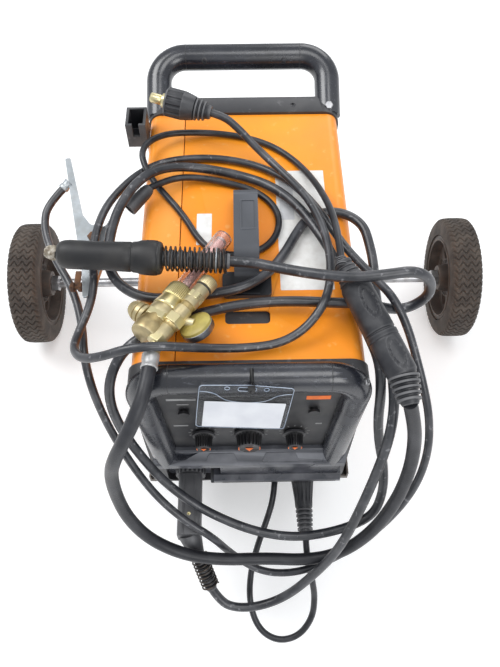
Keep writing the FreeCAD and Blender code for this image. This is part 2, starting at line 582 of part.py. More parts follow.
def rear_fittings():
    """Brass gas inlet with its hose barb, and the gland of the mains cord."""
    gx, gz, cz, face = INLET_X, INLET_Z, MAINS_Z, 205.0
    nut = hexagon(22, (gx, face, gz), (gx, face + 10, gz))
    neck = rod(7, (gx, face - 12, gz), (gx, face + 24, gz))
    barbs = [cone(8.5, 6.5, (gx, face + 24 + 7 * n, gz), (gx, face + 31 + 7 * n, gz)) for n in range(3)]
    inlet = join(nut, neck, *barbs).cut(rod(3, (gx, face - 13, gz), (gx, face + 50, gz)))
    gland = join(hexagon(30, (gx, face, cz), (gx, face + 8, cz)),
                 cone(13, 9, (gx, face + 8, cz), (gx, face + 30, cz)),
                 rod(11, (gx, face - 12, cz), (gx, face, cz)))
    gland = gland.cut(rod(5, (gx, face - 13, cz), (gx, face + 31, cz)))
    return Part.makeCompound([inlet, gland])


def carry_handle():
    """Black top grip that runs front to back on two pads."""
    half, z = 15.0, COVER_TOP
    grip = prism("yz", [(14, z, 0), (-142, z, 0), (-142, z + 6, 4), (-112, z + 8, 10), (-98, z + 34, 18),
                        (2, z + 34, 18), (14, z + 8, 6)], -half, half)
    opening = prism("yz", [(0, z - 1, 0), (-8, z + 24, 8), (-84, z + 24, 8), (-94, z - 1, 0)],
                    -half - 1, half + 1)
    pad = prism("xy", [(-29, -142, 6), (29, -142, 6), (29, -107, 6), (-29, -107, 6)], z, z + 6)
    return join(grip.cut(opening), pad)


def cord_hook():
    """Black box-shaped hook on the left rear shoulder."""
    outer = box(-160, -COVER_HALF_WIDTH, 123, 159, 455, 494)
    inner = box(-156, -136.5, 127, 155, 460, 495)
    front_gap = box(-151, -142, 122, 128, 474, 495)
    return outer.cut(inner).cut(front_gap)


# Inside


def wire_spool():
    """Plastic spool with its wound wire."""
    x0, x1 = DIVIDER_X - 83.2, DIVIDER_X - 0.7
    centre = (x0, SPOOL_Y, SPOOL_Z)
    width = x1 - x0
    bore = 24 + RUNNING_FIT
    section = [(0, bore), (0, 92), (3, 92), (3, 70), (width - 3, 70), (width - 3, 92), (width, 92),
               (width, bore)]
    return turned(section, centre, (1, 0, 0))


def feed_unit():
    """Gear motor behind the divider with the drive plate and roll shaft in front of it."""
    x = DIVIDER_X
    plate = box(x - 9, x, FEED_Y - 55, FEED_Y + 45, FEED_Z - 40, FEED_Z + 70)
    motor = rod(28, (x + SHEET, FEED_Y, FEED_Z), (x + 78, FEED_Y, FEED_Z))
    neck = rod(9, (x, FEED_Y, FEED_Z), (x + SHEET, FEED_Y, FEED_Z))
    shaft = rod(5, (x - 30 - 40, FEED_Y, FEED_Z - 17), (x - 9, FEED_Y, FEED_Z - 17))
    pivot = rod(4, (x - 70, FEED_Y - 38, FEED_Z + 26), (x - 9, FEED_Y - 38, FEED_Z + 26))
    guide = rod(6, (GUN_SOCKET_X, FEED_Y + 24, GUN_SOCKET_Z), (GUN_SOCKET_X, FEED_Y + 42, GUN_SOCKET_Z))
    guide_arm = box(GUN_SOCKET_X - 6, x - 9, FEED_Y + 30, FEED_Y + 40, GUN_SOCKET_Z - 6, GUN_SOCKET_Z + 6)
    return join(plate, motor, neck, shaft, pivot, join(guide, guide_arm))


def drive_roll():
    """Grooved roll that pushes the wire into the gun."""
    x0, x1 = GUN_SOCKET_X - 6, GUN_SOCKET_X + 6
    centre = (x0, FEED_Y, FEED_Z - 17)
    section = [(0, 5 + RUNNING_FIT), (0, 16), (5, 16), (6, 15), (7, 16), (12, 16), (12, 5 + RUNNING_FIT)]
    return turned(section, centre, (1, 0, 0))


def pressure_arm():
    """Swing arm whose idler presses the wire on the drive roll."""
    x0, x1 = GUN_SOCKET_X - 6, GUN_SOCKET_X + 6
    pivot = (FEED_Y - 38, FEED_Z + 26)
    bar = prism("yz", [(pivot[0] - 9, pivot[1] - 9, 8), (FEED_Y + 34, pivot[1] - 9, 6),
                       (FEED_Y + 34, pivot[1] + 7, 6), (pivot[0] - 9, pivot[1] + 9, 8)], x0, x1)
    idler = rod(14.5, (x0 + 1, FEED_Y, FEED_Z + 14.9), (x1 - 1, FEED_Y, FEED_Z + 14.9))
    knob_stem = rod(4, (GUN_SOCKET_X, FEED_Y + 25, pivot[1] + 6), (GUN_SOCKET_X, FEED_Y + 25, pivot[1] + 24))
    knob_top = rod(9, (GUN_SOCKET_X, FEED_Y + 25, pivot[1] + 24), (GUN_SOCKET_X, FEED_Y + 25, pivot[1] + 46))
    bore = rod(4 + RUNNING_FIT, (x0 - 1, pivot[0], pivot[1]), (x1 + 1, pivot[0], pivot[1]))
    return join(bar, idler, knob_stem, knob_top).cut(bore)


def power_unit():
    """Inverter board, finned heat sink and transformer in the power side."""
    floor = BASE_BOTTOM + SHEET
    board = box(2, 122, -110, 130, floor + 8, floor + 11)
    posts = [rod(4, (x, y, floor), (x, y, floor + 8)) for x in (10, 114) for y in (-100, 120)]
    sink = box(10, 114, -20, 120, floor + 11, floor + 19)
    fins = [box(12 + 9 * n, 15 + 9 * n, -20, 120, floor + 19, floor + 74) for n in range(12)]
    core = box(30, 95, -98, -40, floor + 11, floor + 70)
    winding = box(22, 103, -86, -52, floor + 20, floor + 60)
    return join(board, *posts, sink, *fins, core, winding)


# Accessories


def lying(shape, start, end):
    """A shape built along +X, moved so that it runs from start towards end, its Z kept upright."""
    way = (V(*end) - V(*start)).normalize()
    across = Z_AXIS.cross(way).normalize()
    up = way.cross(across)
    turn = FreeCAD.Rotation(way, across, up, "ZXY")
    placed = shape.copy()
    placed.Placement = FreeCAD.Placement(V(*start), turn)
    return placed


def gun_handle():
    """Gun body: round handle with trigger slot, collar and ribbed boot."""
    handle = join(cone(12, 16.5, (-8, 0, 0), (-3, 0, 0)), rod(16.5, (-3, 0, 0), (83, 0, 0)),
                  cone(16.5, 20, (81, 0, 0), (85, 0, 0)), rod(20, (85, 0, 0), (106, 0, 0)),
                  cone(18, 12, (106, 0, 0), (111, 0, 0)))
    slot = box(-2, 31, -5.2, 5.2, -17, -9)
    pivot = rod(1.5, (27, -6, -13.5), (27, 6, -13.5))
    tail = (V(*GUN_END) - V(*GUN_START)).Length
    boot = rod(9, (106, 0, 0), (tail, 0, 0))
    ribs = [rod(10.2, (114 + 6 * n, 0, 0), (116.4 + 6 * n, 0, 0)) for n in range(12)]
    return lying(join(handle.cut(slot), pivot, boot, *ribs), GUN_START, GUN_END)


def gun_trigger():
    """Trigger lever in the slot under the handle."""
    lever = join(box(-1.5, 24, -4.8, 4.8, -21.5, -12.5), rod(3.6, (27, -4.8, -13.5), (27, 4.8, -13.5)),
                 box(20, 27, -4.8, 4.8, -16.5, -12.5))
    lever = lever.cut(rod(1.5 + RUNNING_FIT, (27, -6, -13.5), (27, 6, -13.5)))
    return lying(lever, GUN_START, GUN_END)


def gun_nozzle():
    """Worn metal nozzle on a short bent neck."""
    neck = join(rod(6.5, (-8, 0, 0), (-13, 0, 0)), cone(8.5, 7, (-11.5, 0.5, 0), (-21, 3.8, -1.7)))
    mouth = rod(5, (-15, 1.9, -0.8), (-24, 4.9, -2.3))
    return lying(neck.cut(mouth), GUN_START, GUN_END)


def clamp_lower_jaw():
    """Fixed half of the ground clamp: long plate with the pivot bolt and the cable's ferrule."""
    plate = prism("xy", [(-237, 76, 2), (-230, 77, 2), (-203, -22, 8), (-192, -38, 8), (-172, -42, 2),
                         (-172, -62, 4), (-181, -100, 4), (-184, -126, 2), (-189, -126, 2),
                         (-196, -100, 4), (-208, -52, 8)], 474.6, 481)
    bolt = rod(4, (CLAMP_X, CLAMP_Y, 464), (CLAMP_X, CLAMP_Y, 482))
    nut = hexagon(13, (CLAMP_X, CLAMP_Y, 462.4), (CLAMP_X, CLAMP_Y, 466.7))
    head = hexagon(13, (CLAMP_X, CLAMP_Y, 481), (CLAMP_X, CLAMP_Y, 484))
    ferrule = rod(6.5, (-234, 26, 477), (-224.5, 35, 481.8))
    return join(plate, bolt, nut, head, ferrule)


def clamp_upper_jaw():
    """Moving half of the ground clamp, under the fixed plate."""
    plate = prism("xy", [(-160, 8, 2), (-152, 8, 2), (-162, -22, 8), (-168, -66, 8), (-174, -100, 4),
                         (-179, -125, 2), (-184, -126, 2), (-187, -100, 4), (-198, -70, 8),
                         (-198, -46, 8), (-174, -34, 8)], 467, 474.2)
    return plate.cut(rod(4 + RUNNING_FIT, (CLAMP_X, CLAMP_Y, 466), (CLAMP_X, CLAMP_Y, 475)))


def regulator_body():
    """Brass gas regulator: bell, body, cup, side valve, inlet nut, hose ferrule and gauge."""
    start, way = V(*REGULATOR_START), V(*REGULATOR_WAY).normalize()

    def at(distance):
        point = start + way * distance
        return (point.x, point.y, point.z)

    body = turned([(0, 0), (0, 12), (4, 17.5), (11, 18), (26, 15.5), (40, 15.5), (42, 17), (56, 14.5),
                   (58, 15), (74, 15), (76, 13.5), (76, 0)], REGULATOR_START, REGULATOR_WAY)
    valve = rod(9.5, (-97, -218, 503), VALVE_FACE)
    stem_bore = rod(3 + RUNNING_FIT, tuple(V(*VALVE_FACE) - V(*VALVE_WAY).normalize() * 9), VALVE_FACE)
    valve_nut = hexagon(19, (-101, -223.4, 503), (-95, -215.3, 503))
    valve_collar = hexagon(21, (-84, -200.3, 503), (-77, -190.8, 503))
    block = box(-88, -70, -196, -178, 492, 506)
    inlet = join(rod(9, at(22), (-120, -179, 498)), hexagon(22, (-117, -181.5, 498), (-122, -177.5, 498)),
                 cone(10, 7, (-122, -177.5, 498), (-132, -169.6, 498)))
    ferrule = join(rod(7, at(4), (-103.6, -240, 502)), rod(9, (-103.5, -236, 502.4), (-104, -248, 502)))
    gauge_way = V(0.85, -0.3, 0.25).normalize()
    middle = V(*GAUGE_CENTRE)
    back, face = middle - gauge_way * 8, middle + gauge_way * 8
    gauge = join(cone(13, 17, tuple(back), tuple(back + gauge_way * 5)),
                 rod(17, tuple(back + gauge_way * 5), tuple(face)),
                 rod(5, (-84, -189, 499), tuple(back + gauge_way * 2)))
    return join(body, valve, valve_nut, valve_collar, block, inlet, ferrule, gauge).cut(stem_bore)


def flow_tube():
    """Clear tube of the gas flow meter, closed at its outer end, with its inner column."""
    low, high = 76, 172
    wall = turned([(low, 9.7), (low, 11.2), (high, 11.2), (high, 0), (high - 2, 0), (high - 2, 9.7)],
                  REGULATOR_START, REGULATOR_WAY)
    start, way = V(*REGULATOR_START), V(*REGULATOR_WAY).normalize()
    return join(wall, rod(4, tuple(start + way * low), tuple(start + way * (high - 1))))


def regulator_knob():
    """Flow adjusting knob on the side valve."""
    way, face = V(*VALVE_WAY).normalize(), V(*VALVE_FACE)
    stem = rod(3, tuple(face - way * 8), tuple(face + way * 2))
    cap = rod(10.5, tuple(face + way * 0.4), tuple(face + way * 12))
    return join(stem, cap, rod(9.5, tuple(face + way * 12), tuple(face + way * 14)))


def cable_plug():
    """Brass bayonet pin of the ground lead in its rubber sleeve."""
    start, end = V(-122, 135, 530), V(-43, 115, 520)
    way = (end - start).normalize()

    def at(distance):
        return tuple(start + way * distance)

    pin = join(cone(5, 6.5, at(0), at(2)), rod(6.5, at(2), at(22)), rod(9, at(16), at(24)))
    sleeve = join(rod(18.5, at(20), at(42)), cone(18.5, 9, at(42), at((end - start).Length)))
    ribs = [rod(18.9 - 1.9 * n, at(44 + 8 * n), at(47 + 8 * n)) for n in range(4)]
    return join(pin, sleeve, *ribs)


def cable_coupler():
    """Moulded junction where the thin torch lead and the gas hose meet."""
    neck = rod(8, (106, -141.5, 521), (106, -127, 520))
    front, way = V(107, -131, 519.2), V(47, -105, -26.2).normalize()

    def at(distance):
        return tuple(front + way * distance)

    body = [cone(10, 17.5, at(0), at(17)), rod(17.5, at(17), at(100)), cone(17.5, 14, at(100), at(118))]
    link = rod(9.5, at(104), (164, -284, 493))
    outlet = rod(10.5, (162.7, -283.8, 501), (169, -288, 480))
    return join(neck, *body, link, outlet)


def mig_connector():
    """Gun connector: brass nose, moulded grip and boot."""
    x, z = GUN_SOCKET_X, GUN_SOCKET_Z
    nose = rod(8.6, (x, SOCKET_FACE - 6, z), (x, -212, z))
    nut = rod(21, (x, -264, z), (x, SOCKET_FACE, z))
    grip = prism("xz", [(x - 16, z - 16, 7), (x + 16, z - 16, 7), (x + 16, z + 16, 7),
                        (x - 16, z + 16, 7)], -350, -264)
    start, end = V(*BOOT_START), V(*BOOT_END)
    way = (end - start).normalize()
    taper = cone(15, 9, BOOT_START, tuple(start + way * 30))
    return join(nose, nut, grip, taper, rod(8, tuple(start + way * 28), BOOT_END))


def bend_guards():
    """The two coil springs that keep the gun cable from kinking, at the gun and at its connector."""
    gun_guard, gun_gap = spring((113, 0, 0), (183, 0, 0), 13.8, 1.2, 13)
    start, end = V(*BOOT_START), V(*BOOT_END)
    way = (end - start).normalize()
    boot_guard, boot_gap = spring(tuple(start + way * 32), tuple(end - way * 3), 11.4, 1.2, 9)
    print("least gaps between turns: gun guard %.2f mm, connector guard %.2f mm" % (gun_gap, boot_gap))
    return Part.makeCompound([lying(gun_guard, GUN_START, GUN_END), boot_guard])


def dinse_plug():
    """Current plug of the polarity lead, in the right-hand socket."""
    x, z = PLUGGED_X, OUTPUT_Z
    pin = rod(6.9, (x, SOCKET_FACE - 2, z), (x, -219, z))
    sleeve = join(rod(16, (x, -262, z), (x, SOCKET_FACE, z)), cone(12, 16, (x, -300, z), (x, -262, z)),
                  rod(10, (x, -338, z), (x, -298, z)))
    ribs = [rod(12, (x, -330 + 7 * n, z), (x, -327 + 7 * n, z)) for n in range(4)]
    return join(pin, sleeve, *ribs)


def torch_handle():
    """Short open sleeve at the free end of the thin lead."""
    mouth, rear = (-147, -10, 476), (-121, 18, 485)
    way = (V(*rear) - V(*mouth)).normalize()
    shoulder = tuple(V(*rear) - way * 8)
    sleeve = join(cone(9.5, 8.5, mouth, shoulder), cone(8.5, 6, shoulder, rear))
    return sleeve.cut(rod(6.5, tuple(V(*mouth) - way), tuple(V(*mouth) + way * 14)))


def tag():
    """Plastic card holder that hangs from a tie round the front bar, with a blank card in it."""
    back = BAR_Y - 18.1
    holder = prism("xz", [(-54, 409, 6), (47, 409, 6), (47, 494, 6), (-54, 494, 6)], back - 2.4, back)
    card = box(-47, 42, back - 3, back - 2.4, 413, 463)
    leaf = join(holder, card)
    leaf.rotate(V(0, back, BAR_Z), X_AXIS, -8)
    tie = rod(18.6, (1, BAR_Y, BAR_Z), (5, BAR_Y, BAR_Z)).cut(rod(16.8, (0, BAR_Y, BAR_Z), (6, BAR_Y, BAR_Z)))
    tie = tie.cut(box(0, 6, -250.4, -230, BAR_Z - 30, BEZEL_TOP + 0.4))
    return join(leaf, tie)


# Leads

# Diameter and the corner points of each run, which tangent arcs round off
LEADS = {
    "gas_hose": (16.0, [
        (-104, -248, 502), (-107, -276, 501), (-117, -302, 489), (-132, -320, 465), (-146, -327, 434),
        (-157, -327, 393), (-161, -331, 335), (-153, -345, 280), (-128, -361, 236), (-84, -374, 209),
        (-36, -377, 195), (20, -374, 187), (74, -376, 181), (118, -373, 198), (155, -359, 243),
        (179, -338, 300), (189, -317, 357), (187, -301, 408), (178, -294, 450), (169, -288, 480)]),
    "gun_cable": (12.0, [
        (-54, -403, 146), (-42, -418, 130), (-22, -425, 123), (10, -424, 122), (48, -414, 135),
        (83, -396, 178), (112, -378, 238), (131, -352, 295), (148, -322, 345), (159, -298, 390),
        (164, -274, 422), (164, -246, 442), (160, -210, 453), (154, -168, 459), (152, -131, 463),
        (154, -96, 468), (151, -62, 471), (147, -40, 472.5), (133, -23, 472.5), (113, -15, 472.5),
        (91, -18, 472.5), (73, -31, 472.5), (61, -52, 472.5), (46, -83, 474), (27, -114, 480),
        (0, -136, 482), (-34, -143, 479), (-77, -143, 472.5), (-106, -146, 474), (-128, -145, 480),
        (-148, -134, 486), (-160, -115, 490), (-164, -90, 490), (-163, -58, 491), (-156, -24, 495),
        (-140, 8, 499), (-118, 34, 498), (-90, 50, 490), (-54, 58, 478), (-8, 50, 473),
        (33, 27, 477), (64, -12, 484), (87, -58, 487), (104, -96, 484), (116, -130, 475),
        (125, -166, 472.4), (136, -200, 473), (147, -228, 462), (151, -250, 430), (153, -262, 385),
        (161, -273, 335), (172, -290, 295), (173, -312, 262), (163, -332, 238), (135, -343, 224),
        (99, -350, 215), (59, -353, 210), (15, -347, 212), (-27, -335, 222), (-71, -318, 242),
        (-112, -296, 277), (-142, -272, 325), (-160, -254, 375), (-163, -240, 420), (-153, -225, 453),
        (-135, -208, 472), (-108, -188, 472.5), (-72, -172, 473), (-26, -164, 481), (17, -160, 485),
        (60, -159, 484), (100, -163, 485.2), (132, -165, 487), (179, -160, 461), (206, -158, 484),
        (204, -159, 519), (182, -161, 542), (150, -165, 541), (118, -166, 537),
        (90, -160, 533), (60, -150, 527), (28, -137.5, 521), (5, -128, 517.6), (-19, -126.5, 518)]),
    "ground_cable": (10.0, [
        (-43, 115, 520), (-25.7, 110.6, 517.8), (-8, 99, 508), (12, 82, 495), (35, 57, 488),
        (58, 23, 490), (76, -12, 497), (88, -49, 501), (95, -85, 502), (97, -120, 502),
        (92, -156, 500), (80, -181, 494), (60, -199, 482), (33, -211, 476), (-3, -216, 477),
        (-37, -221, 486), (-67, -229, 503), (-95, -236, 518.5), (-126, -238, 518), (-155, -239, 503),
        (-182, -231, 484), (-197, -208, 468), (-194, -180, 461), (-184, -154, 468), (-178, -130, 481),
        (-180, -108, 489), (-182, -82, 491), (-180, -50, 491), (-174, -14, 486), (-161, 23, 477),
        (-141, 55, 472), (-110, 77, 471.5), (-66, 84, 471.5), (-20, 80, 471.5), (23, 65, 471.5),
        (57, 38, 474), (81, -4, 484), (99, -45, 489), (116, -85, 491), (134, -114, 491),
        (151, -136, 489), (168, -158, 485), (184, -182, 463), (196, -208, 436), (206, -234, 412),
        (216, -260, 380), (220, -286, 338), (212, -311, 290), (190, -333, 242), (153, -356, 200),
        (108, -376, 176), (62, -388, 158), (14, -384, 150), (-26, -363, 168), (-50, -354, 222),
        (-84, -338, 240), (-118, -316, 270), (-145, -290, 308), (-167, -262, 350), (-178, -244, 398),
        (-183, -229, 435), (-189, -203, 449), (-193, -175, 449), (-201, -142, 449), (-215, -107, 451),
        (-234, -76, 452), (-249, -46, 455),
        (-257, -17, 460), (-254, 7, 467), (-234, 26, 477)]),
    "torch_cable": (8.5, [
        (106, -127, 520), (106, -98, 518), (105, -57, 508), (100, -12, 493), (89, 34, 478),
        (71, 72, 471), (43, 102, 470.5), (8, 121, 470.5), (-33, 131, 470.5), (-74, 130, 474),
        (-106, 121, 480), (-127, 104, 484), (-136, 81, 487), (-131, 58, 484), (-118, 37, 474),
        (-102, 17, 471), (-87, -4, 470.5), (-73, -27, 470.5), (-62, -50, 470.5), (-47, -70, 470.5),
        (-24, -81, 470.5), (1, -80, 470.5), (24, -70, 470.5), (39, -49, 470.5), (43, -21, 470.5),
        (32, 6, 470.5), (9, 26, 470.5), (-20, 37, 471), (-50, 43, 474), (-78, 43, 478),
        (-102, 34, 481), (-121, 18, 485)]),
    "polarity_lead": (9.0, [
        (77, -338, 171), (77, -359, 169), (80, -377, 156), (86, -394, 134), (90, -411, 110),
        (87, -434, 84), (67, -456, 70), (36, -461, 66), (9, -445, 74), (-3, -411, 92),
        (0, -374, 117), (11, -343, 142), (25, -312, 160), (35, -283, 170), (37, -258, 171)]),
}


def lead(name):
    """A lead as one unbroken tube, its bends as wide as the straight runs between them allow."""
    diameter, places = LEADS[name]
    points = [V(*place) for place in places]
    corners, tightest = [(points[0], 0)], 1e9
    for before, here, after in zip(points, points[1:], points[2:]):
        come, go = here - before, after - here
        radius = 0.45 * min(come.Length, go.Length) / math.tan(come.getAngle(go) / 2)
        tightest = min(tightest, radius)
        corners.append((here, radius))
    edges = rounded_edges(corners + [(points[-1], 0)], False)
    tube = tube_along(edges, diameter / 2)
    length = sum(edge.Length for edge in edges)
    swept = length * math.pi * diameter ** 2 / 4
    print("%s: %.0f mm long, tightest bend %.0f mm (%.1f d), volume %.4f of its section times length" % (
        name, length, tightest, tightest / diameter, tube.Volume / swept))
    return tube


TUBES = {name: lead(name) for name in LEADS}

NODES = {
    "cart_deck": cart_deck, "axle": axle,
    "left_tyre": lambda: tyre(-1), "right_tyre": lambda: tyre(1),
    "left_rim": lambda: rim(-1), "right_rim": lambda: rim(1),
    "left_caster_fork": lambda: caster_fork(-1), "right_caster_fork": lambda: caster_fork(1),
    "left_caster_wheel": lambda: caster_wheel(-1), "right_caster_wheel": lambda: caster_wheel(1),
    "feet": feet, "base_pan": base_pan, "centre_divider": centre_divider, "top_cover": top_cover,
    "left_shoulder_cover": left_shoulder_cover, "right_side_panel": right_side_panel,
    "side_door": side_door, "door_latch": door_latch,
    "front_bezel": lambda: front_bezel(bar_hoop()), "front_bar": bar_hoop,
    "control_panel": lambda: control_panel(bar_hoop()), "socket_panel": lambda: socket_panel(bar_hoop()),
    "output_sockets": lambda: output_sockets().cut(TUBES["polarity_lead"]),
    "centre_knob": lambda: knob(0, 16), "left_knob": lambda: knob(-SMALL_KNOB_X, 11),
    "right_knob": lambda: knob(SMALL_KNOB_X, 11),
    "left_button": lambda: button(-BUTTON_X), "right_button": lambda: button(BUTTON_X),
    "rear_bezel": lambda: rear_bezel(handle_hoop()), "rear_handle": handle_hoop,
    "fan_rotor": fan_rotor, "power_switch": power_switch, "rear_fittings": rear_fittings,
    "carry_handle": carry_handle, "cord_hook": cord_hook,
    "wire_spool": wire_spool, "feed_unit": feed_unit, "drive_roll": drive_roll,
    "pressure_arm": pressure_arm, "power_unit": power_unit,
    "gun_handle": lambda: gun_handle().cut(TUBES["gun_cable"]),
    "gun_trigger": gun_trigger, "gun_nozzle": gun_nozzle,
    "clamp_lower_jaw": lambda: clamp_lower_jaw().cut(TUBES["ground_cable"]),
    "clamp_upper_jaw": clamp_upper_jaw,
    "regulator_body": lambda: regulator_body().cut(TUBES["gas_hose"]),
    "flow_tube": flow_tube, "regulator_knob": regulator_knob,
    "cable_plug": lambda: cable_plug().cut(TUBES["ground_cable"]),
    "cable_coupler": cable_coupler,
    "mig_connector": lambda: mig_connector().cut(TUBES["gun_cable"]), "bend_guards": bend_guards,
    "dinse_plug": lambda: dinse_plug().cut(TUBES["polarity_lead"]),
    "torch_handle": lambda: torch_handle().cut(TUBES["torch_cable"]), "tag": tag,
}
NODES.update({name: lambda name=name: TUBES[name] for name in LEADS})

os.makedirs("parts", exist_ok=True)
for name, make in NODES.items():
    shape = make()
    shape.exportStep("parts/%s.step" % name)
    bound = shape.BoundBox
    print("%-22s %2d solids %9.0f mm3 valid %s  x %.1f..%.1f y %.1f..%.1f z %.1f..%.1f" % (
        name, len(shape.Solids), shape.Volume, shape.isValid(), bound.XMin, bound.XMax,
        bound.YMin, bound.YMax, bound.ZMin, bound.ZMax))
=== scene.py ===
# %% [markdown]
# # A wire-feed welder on its cart
# The real machine is a folded steel case between two moulded black frames, on a low wheeled tray.
# Its gun, clamp, gas regulator and leads lie coiled over the top. The fixed frame already holds every
# solid at its real size, so this lesson gives each one its finish, swaps the ones that need finer
# form for modelled pieces, and lays the leads. Everything is in metres; helpers take millimetres.

# %% Load the fixed frame
import math
import random

import bmesh
import bpy
from mathutils import Matrix, Vector


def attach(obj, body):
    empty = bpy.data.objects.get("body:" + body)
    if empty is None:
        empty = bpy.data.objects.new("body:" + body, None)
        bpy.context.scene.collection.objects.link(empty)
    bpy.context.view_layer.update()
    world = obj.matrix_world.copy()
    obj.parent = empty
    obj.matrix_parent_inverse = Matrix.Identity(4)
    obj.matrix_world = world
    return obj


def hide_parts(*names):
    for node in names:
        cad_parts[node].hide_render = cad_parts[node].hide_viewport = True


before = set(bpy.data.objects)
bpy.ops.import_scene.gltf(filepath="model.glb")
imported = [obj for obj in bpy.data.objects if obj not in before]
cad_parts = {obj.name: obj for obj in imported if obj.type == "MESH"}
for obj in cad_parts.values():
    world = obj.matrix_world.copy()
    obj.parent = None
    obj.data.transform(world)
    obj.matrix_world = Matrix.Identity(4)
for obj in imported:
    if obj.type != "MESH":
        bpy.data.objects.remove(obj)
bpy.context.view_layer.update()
MM = 0.001
BODY = "machine"
UP, FORWARD = Vector((0, 0, 1)), Vector((0, -1, 0))
SIDES = ((-1, "left"), (1, "right"))
random.seed(7)


def at(x, y, z):
    """A point given in millimetres."""
    return Vector((x, y, z)) * MM


# %% [markdown]
# ## Camera and light
# The photograph looks steeply down on the machine from in front of it. Its long side is upright, and
# Blender measures the lens against the long side. The light is an even sky with four broad soft lamps.
# The ones above and at the upper left give the bars and leads their long pale highlights.

# %% Camera
LENS_MM = 37.24
camera_data = bpy.data.cameras.new("photo_camera")
camera_data.lens = LENS_MM
camera_data.sensor_width = 36.0
camera = bpy.data.objects.new("photo_camera", camera_data)
camera.location = at(-5.1, -602, 1136)
camera.rotation_euler = (math.radians(31.57), 0.0, -0.0181)
bpy.context.scene.collection.objects.link(camera)
bpy.context.scene.camera = camera
bpy.context.scene.view_settings.view_transform = "Standard"


# %% Lamps
def lamp(name, place, target, size, watts):
    """A square soft lamp that points at a target."""
    data = bpy.data.lights.new(name, "AREA")
    data.size = size
    data.energy = watts
    made = bpy.data.objects.new(name, data)
    made.location = place
    made.rotation_euler = (Vector(target) - Vector(place)).to_track_quat("-Z", "Y").to_euler()
    bpy.context.scene.collection.objects.link(made)


MIDDLE = (0.0, 0.0, 0.35)
lamp("sky_left", (-1.3, 0.5, 2.3), MIDDLE, 1.3, 30)
lamp("overhead", (0.42, -0.35, 2.6), MIDDLE, 1.1, 13)
lamp("front_fill", (0.9, -1.9, 1.7), MIDDLE, 1.2, 17)
lamp("rear_rim", (0.8, 1.9, 1.6), MIDDLE, 1.2, 10)


# %% World and floor
def straight_or_through(nodes, links):
    """1 for rays that show the background as such: seen directly or through glass."""
    path = nodes.new("ShaderNodeLightPath")
    either = nodes.new("ShaderNodeMath")
    either.operation = "MAXIMUM"
    links.new(path.outputs["Is Camera Ray"], either.inputs[0])
    links.new(path.outputs["Is Transmission Ray"], either.inputs[1])
    return either.outputs[0]


world = bpy.data.worlds.new("studio")
bpy.context.scene.world = world
world.use_nodes = True
tree = world.node_tree
sky = tree.nodes["Background"]
sky.inputs["Color"].default_value = (0.93, 0.96, 1.0, 1)
sky.inputs["Strength"].default_value = 0.62
white = tree.nodes.new("ShaderNodeBackground")
white.inputs["Color"].default_value = (1, 1, 1, 1)
white.inputs["Strength"].default_value = 1.0
chooser = tree.nodes.new("ShaderNodeMixShader")
tree.links.new(straight_or_through(tree.nodes, tree.links), chooser.inputs[0])
tree.links.new(sky.outputs[0], chooser.inputs[1])
tree.links.new(white.outputs[0], chooser.inputs[2])
tree.links.new(chooser.outputs[0], tree.nodes["World Output"].inputs["Surface"])

FLOOR_HALF = 6.0
floor_mesh = bpy.data.meshes.new("studio_floor")
floor_corners = [(u * FLOOR_HALF, v * FLOOR_HALF, 0) for u, v in ((-1, -1), (1, -1), (1, 1), (-1, 1))]
floor_mesh.from_pydata(floor_corners, [], [(0, 1, 2, 3)])
floor = bpy.data.objects.new("studio_floor", floor_mesh)
bpy.context.scene.collection.objects.link(floor)
floor_finish = bpy.data.materials.new("pale_floor")
floor_finish.use_nodes = True
floor_shader = floor_finish.node_tree.nodes["Principled BSDF"]
floor_shader.inputs["Base Color"].default_value = (0.86, 0.86, 0.86, 1)
floor_shader.inputs["Roughness"].default_value = 0.9
floor_shader.inputs["Emission Color"].default_value = (1, 1, 1, 1)
floor_shader.inputs["Emission Strength"].default_value = 0.28
floor_mesh.materials.append(floor_finish)

# %% [markdown]
# ## Finishes
# A worn workshop machine has hardly one clean surface. Each finish starts from a plain colour, drifts
# a little over the part, gathers dust in patches, wears pale on sharp edges, and carries fine grain as
# bump. One helper builds that stack, so that each material is a short list of real properties.


# %% Colour and node helpers
def colour(red, green, blue):
    """A colour seen as these 0-255 screen values, as the shader wants it."""
    shares = [value / 255 for value in (red, green, blue)]
    linear = [s / 12.92 if s <= 0.04045 else ((s + 0.055) / 1.055) ** 2.4 for s in shares]
    return (*linear, 1.0)


